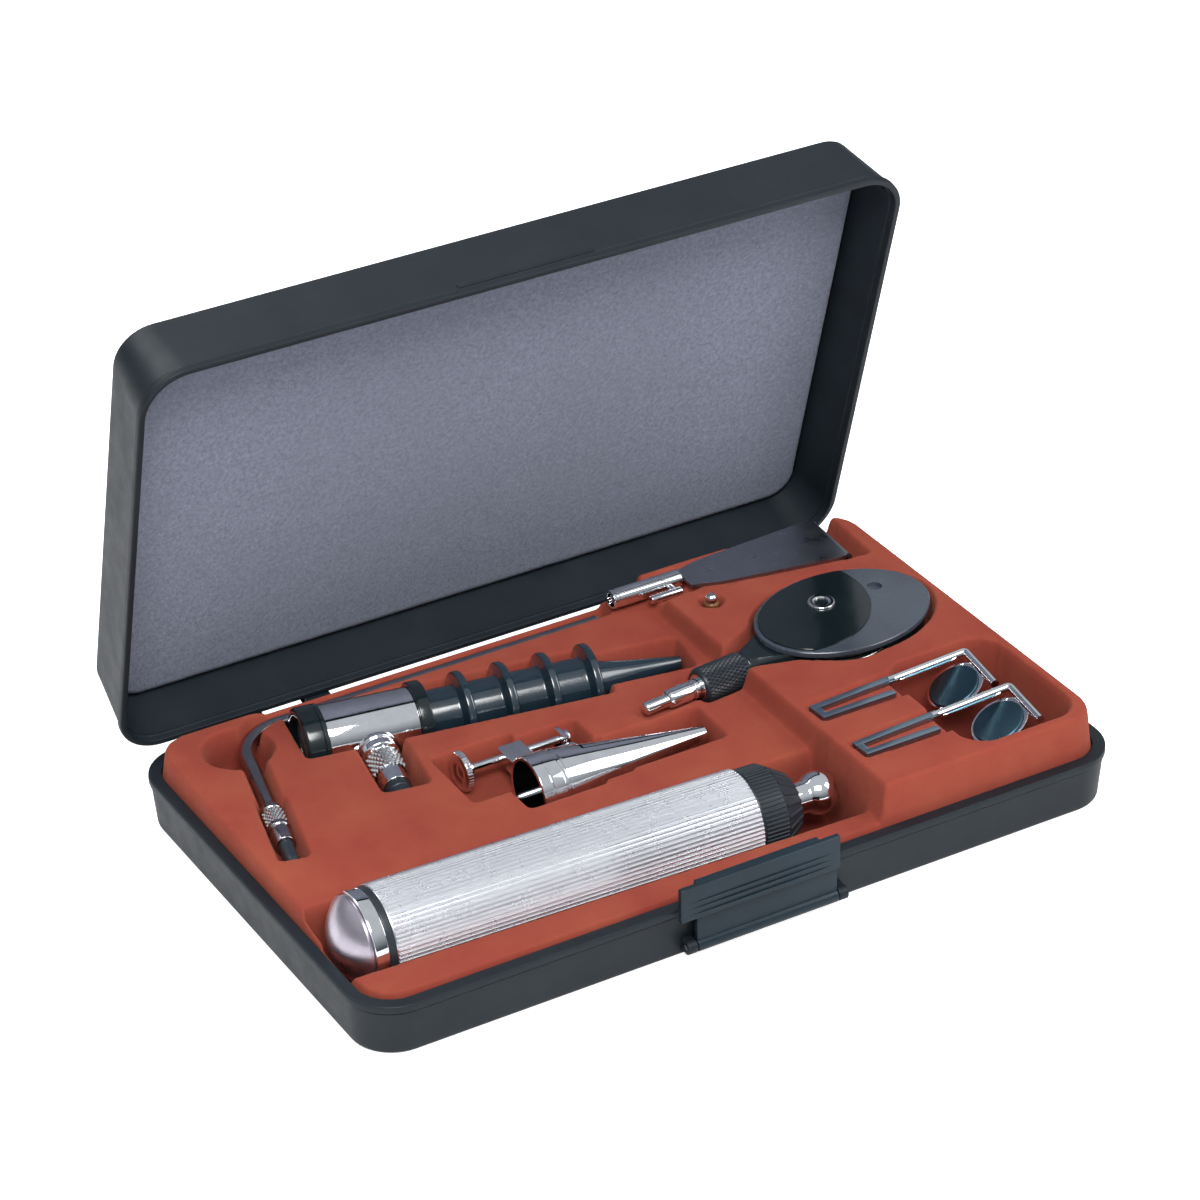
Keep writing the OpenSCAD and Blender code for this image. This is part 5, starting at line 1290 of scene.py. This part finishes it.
class CASE_OT_spares(BuildOperator):
    """Build the spare lamp and the two laryngeal mirrors"""

    bl_idname = "carry_case.spares"
    bl_label = "Spare lamp and mirrors"

    def execute(self, context):
        at = shift(56, 44, 0) @ turn("Y", -90)
        lathed("lamp_base", "spare_lamp", "amber", "spare_lamp_body", at, [
            (20.8, 0), (20.8, 2.3, 0.3), (21.4, 2.5, 0.2), (26.5, 2.5), (26.8, 2.3), (27.2, 2.3),
            (27.5, 2.5), (29.5, 2.4, 0.5), (29.5, 0)], 48)
        lathed("lamp_cap", "spare_lamp", "cap", "spare_lamp_cap", at, [
            (29.4, 0), (29.5, 1.8, 0.2), (31.2, 1.8, 0.5), (32.2, 1.0, 0.5), (32.2, 0)], 48)
        for i, side in enumerate(("rear", "front")):
            self.mirror(AT_MIRRORS[i], side)
        return {"FINISHED"}

    def mirror(self, at, side):
        body = f"mirror_{side}"
        bm = bmesh.new()
        block(bm, at, (0, -1.2, 27.9), (30, 1.2, 29.5), 0.3)
        lower = at @ shift(0, -5.2, 0) @ turn("Z", -3.5)
        block(bm, lower, (0, -1.2, 27.9), (25.5, 1.2, 29.5), 0.3)
        block(bm, at, (0, -6.4, 27.92), (2.4, 1.19, 29.48), 0.3)
        piece(f"mirror_clip_{side}_bar", bm, body, "blue", (f"mirror_clip_{side}",))
        z, lean = 28.45, 12
        way = Vector((-math.sin(math.radians(lean)), -math.cos(math.radians(lean)), 0))
        corner = Vector((57, 0, z))
        first, last = corner - Vector((1.6, 0, 0)), corner + way * 1.6
        path = [Vector((28, 0, z)), Vector((40, 0, z)), first]
        path += [first * (1 - t) ** 2 + corner * 2 * t * (1 - t) + last * t * t
                 for t in (0.2, 0.4, 0.6, 0.8)]
        path += [last, corner + way * 12, corner + way * 20]
        bm = bmesh.new()
        sweep(bm, at, path, 1.3, 28)
        foot = at @ shift(57, 0, z) @ turn("Z", -lean) @ shift(0, -10, 0)
        disc = foot @ turn("Y", -28) @ shift(-9.2, 0, 0) @ turn("Y", -90)
        lathe(bm, disc, [(-0.8, 0), (-0.8, 8.9, 0.3), (0.0, 9.2, 0.3), (0.0, 8.2, 0.1),
                         (-0.1, 8.1), (-0.1, 0)], False, 80)
        piece(f"mirror_rod_{side}_bar", bm, body, "chrome", (f"mirror_rod_{side}",))
        glass = foot @ turn("Y", -28) @ shift(-9.6, 0, 0) @ turn("Y", -90)
        lathed(f"mirror_glass_{side}_disc", body, "mirror", f"mirror_glass_{side}", glass, [
            (0.02, 0), (0.02, 8.0), (0.3, 8.0, 0.15), (0.52, 7.7, 0.2), (0.52, 0)], 80)


class CASE_OT_stage(BuildOperator):
    """Set the pale floor, the soft lights and the camera"""

    bl_idname = "carry_case.stage"
    bl_label = "Floor, lights and camera"

    def execute(self, context):
        look = context.scene.stage_look
        context.scene.view_settings.view_transform = "Standard"
        self.camera(context, look)
        self.floor(look)
        self.dome(context, look)
        self.lights(context, look)
        return {"FINISHED"}

    def camera(self, context, look):
        data = bpy.data.cameras.new("camera")
        data.lens, data.sensor_width = look.lens, 36.0
        data.clip_start, data.clip_end = 0.05, 20.0
        camera = bpy.data.objects.new("camera", data)
        context.scene.collection.objects.link(camera)
        right = Vector((0.86307966, -0.50469866, -0.01930682))
        down = Vector((-0.27358853, -0.43504491, -0.85783754))
        ahead = Vector((0.42455013, 0.74566426, -0.51355818))
        turned = Matrix((right, -down, -ahead)).transposed()
        place = Vector((-0.52684, -0.91116, 0.70029))
        camera.matrix_world = Matrix.Translation(place) @ turned.to_4x4()
        context.scene.camera = camera

    def floor(self, look):
        bm = bmesh.new()
        bmesh.ops.create_grid(bm, x_segments=8, y_segments=8, size=4.0)
        mesh = bpy.data.meshes.new("floor")
        bm.to_mesh(mesh)
        bm.free()
        mesh.transform(Matrix.Translation((0, 0, -0.0003)))
        floor = bpy.data.objects.new("floor", mesh)
        bpy.context.scene.collection.objects.link(floor)
        material, tree, bsdf = shader("pale_floor")
        here = coordinates(tree)
        colour = tuple(look.floor)
        tree.links.new(between(tree, noise(tree, here, 0.004, 2), colour, shade(colour, 0.985)),
                       bsdf.inputs["Base Color"])
        bsdf.inputs["Roughness"].default_value = 0.85
        bsdf.inputs["Specular IOR Level"].default_value = 0.1
        bsdf.inputs["Emission Color"].default_value = (1, 1, 1, 1)
        seen = tree.nodes.new("ShaderNodeLightPath").outputs["Is Camera Ray"]
        tree.links.new(math_node(tree, "MULTIPLY", seen, look.glow),
                       bsdf.inputs["Emission Strength"])
        mesh.materials.append(material)

    def dome(self, context, look):
        """Soft light from above that darkens to the horizon, so that polish shows contrast."""
        world = bpy.data.worlds.new("studio")
        context.scene.world = world
        world.use_nodes = True
        tree = world.node_tree
        tree.nodes.clear()
        horizon, zenith = (0.1, 0.12, 0.15), (1.0, 1.05, 1.12)
        source = tree.nodes.new("ShaderNodeTexCoord")
        rise = spread(tree, height_of(tree, source.outputs["Generated"]), 0.02, 0.6, 0, 1)
        light, plain = (tree.nodes.new("ShaderNodeBackground") for _ in range(2))
        tree.links.new(between(tree, rise, horizon, zenith), light.inputs["Color"])
        light.inputs["Strength"].default_value = look.dome
        plain.inputs["Color"].default_value = (1, 1, 1, 1)
        path, mix = (tree.nodes.new(f"ShaderNode{kind}") for kind in ("LightPath", "MixShader"))
        out = tree.nodes.new("ShaderNodeOutputWorld")
        link(tree, path, "Is Camera Ray", mix, 0)
        link(tree, light, "Background", mix, 1)
        link(tree, plain, "Background", mix, 2)
        link(tree, mix, "Shader", out, "Surface")

    def lights(self, context, look):
        for name, place, size, power in (
            ("key", (-0.35, -0.75, 1.15), (0.75, 0.5), look.key),
            ("fill", (0.95, -0.7, 0.8), (0.5, 0.9), look.key * 0.38),
            ("back", (-0.4, 1.3, 1.5), (1.4, 0.6), look.key * 0.75),
        ):
            data = bpy.data.lights.new(name, "AREA")
            data.shape, data.size, data.size_y = "RECTANGLE", *size
            data.energy = power
            lamp = bpy.data.objects.new(name, data)
            lamp.location = place
            aim = Vector((0, 0, 0.01)) - Vector(place)
            lamp.rotation_euler = aim.to_track_quat("-Z", "Y").to_euler()
            context.scene.collection.objects.link(lamp)


class CASE_PT_panel(bpy.types.Panel):
    """Lists the sizes, the colours and the building steps"""

    bl_label = "Carry case"
    bl_idname = "CASE_PT_panel"
    bl_space_type = "VIEW_3D"
    bl_region_type = "UI"
    bl_category = "Carry case"

    def draw(self, context):
        for name in LOOKS:
            group = getattr(context.scene, name)
            box = self.layout.box()
            box.label(text=name.replace("_", " ").capitalize())
            for key in type(group).__annotations__:
                box.prop(group, key)
        for operator in STEPS:
            self.layout.operator(operator.bl_idname)


LOOKS = {
    "case_look": CaseLook, "lining_look": LiningLook, "handle_look": HandleLook,
    "instrument_look": InstrumentLook, "stage_look": StageLook,
}
STEPS = (
    CASE_OT_stage, CASE_OT_shells, CASE_OT_latch, CASE_OT_tray, CASE_OT_foam, CASE_OT_handle,
    CASE_OT_otoscope, CASE_OT_arm_lamp, CASE_OT_nasal, CASE_OT_ophthalmoscope,
    CASE_OT_tongue, CASE_OT_spares,
)


def register():
    for group in (*LOOKS.values(), *STEPS, CASE_PT_panel):
        bpy.utils.register_class(group)
    for name, group in LOOKS.items():
        setattr(bpy.types.Scene, name, PointerProperty(type=group))


def unregister():
    for name in LOOKS:
        delattr(bpy.types.Scene, name)
    for group in (CASE_PT_panel, *reversed(STEPS), *reversed(LOOKS.values())):
        bpy.utils.unregister_class(group)


def main():
    register()
    make_finishes(bpy.context.scene)
    for operator in STEPS:
        group, name = operator.bl_idname.split(".")
        getattr(getattr(bpy.ops, group), name)()


if __name__ == "__main__":
    main()
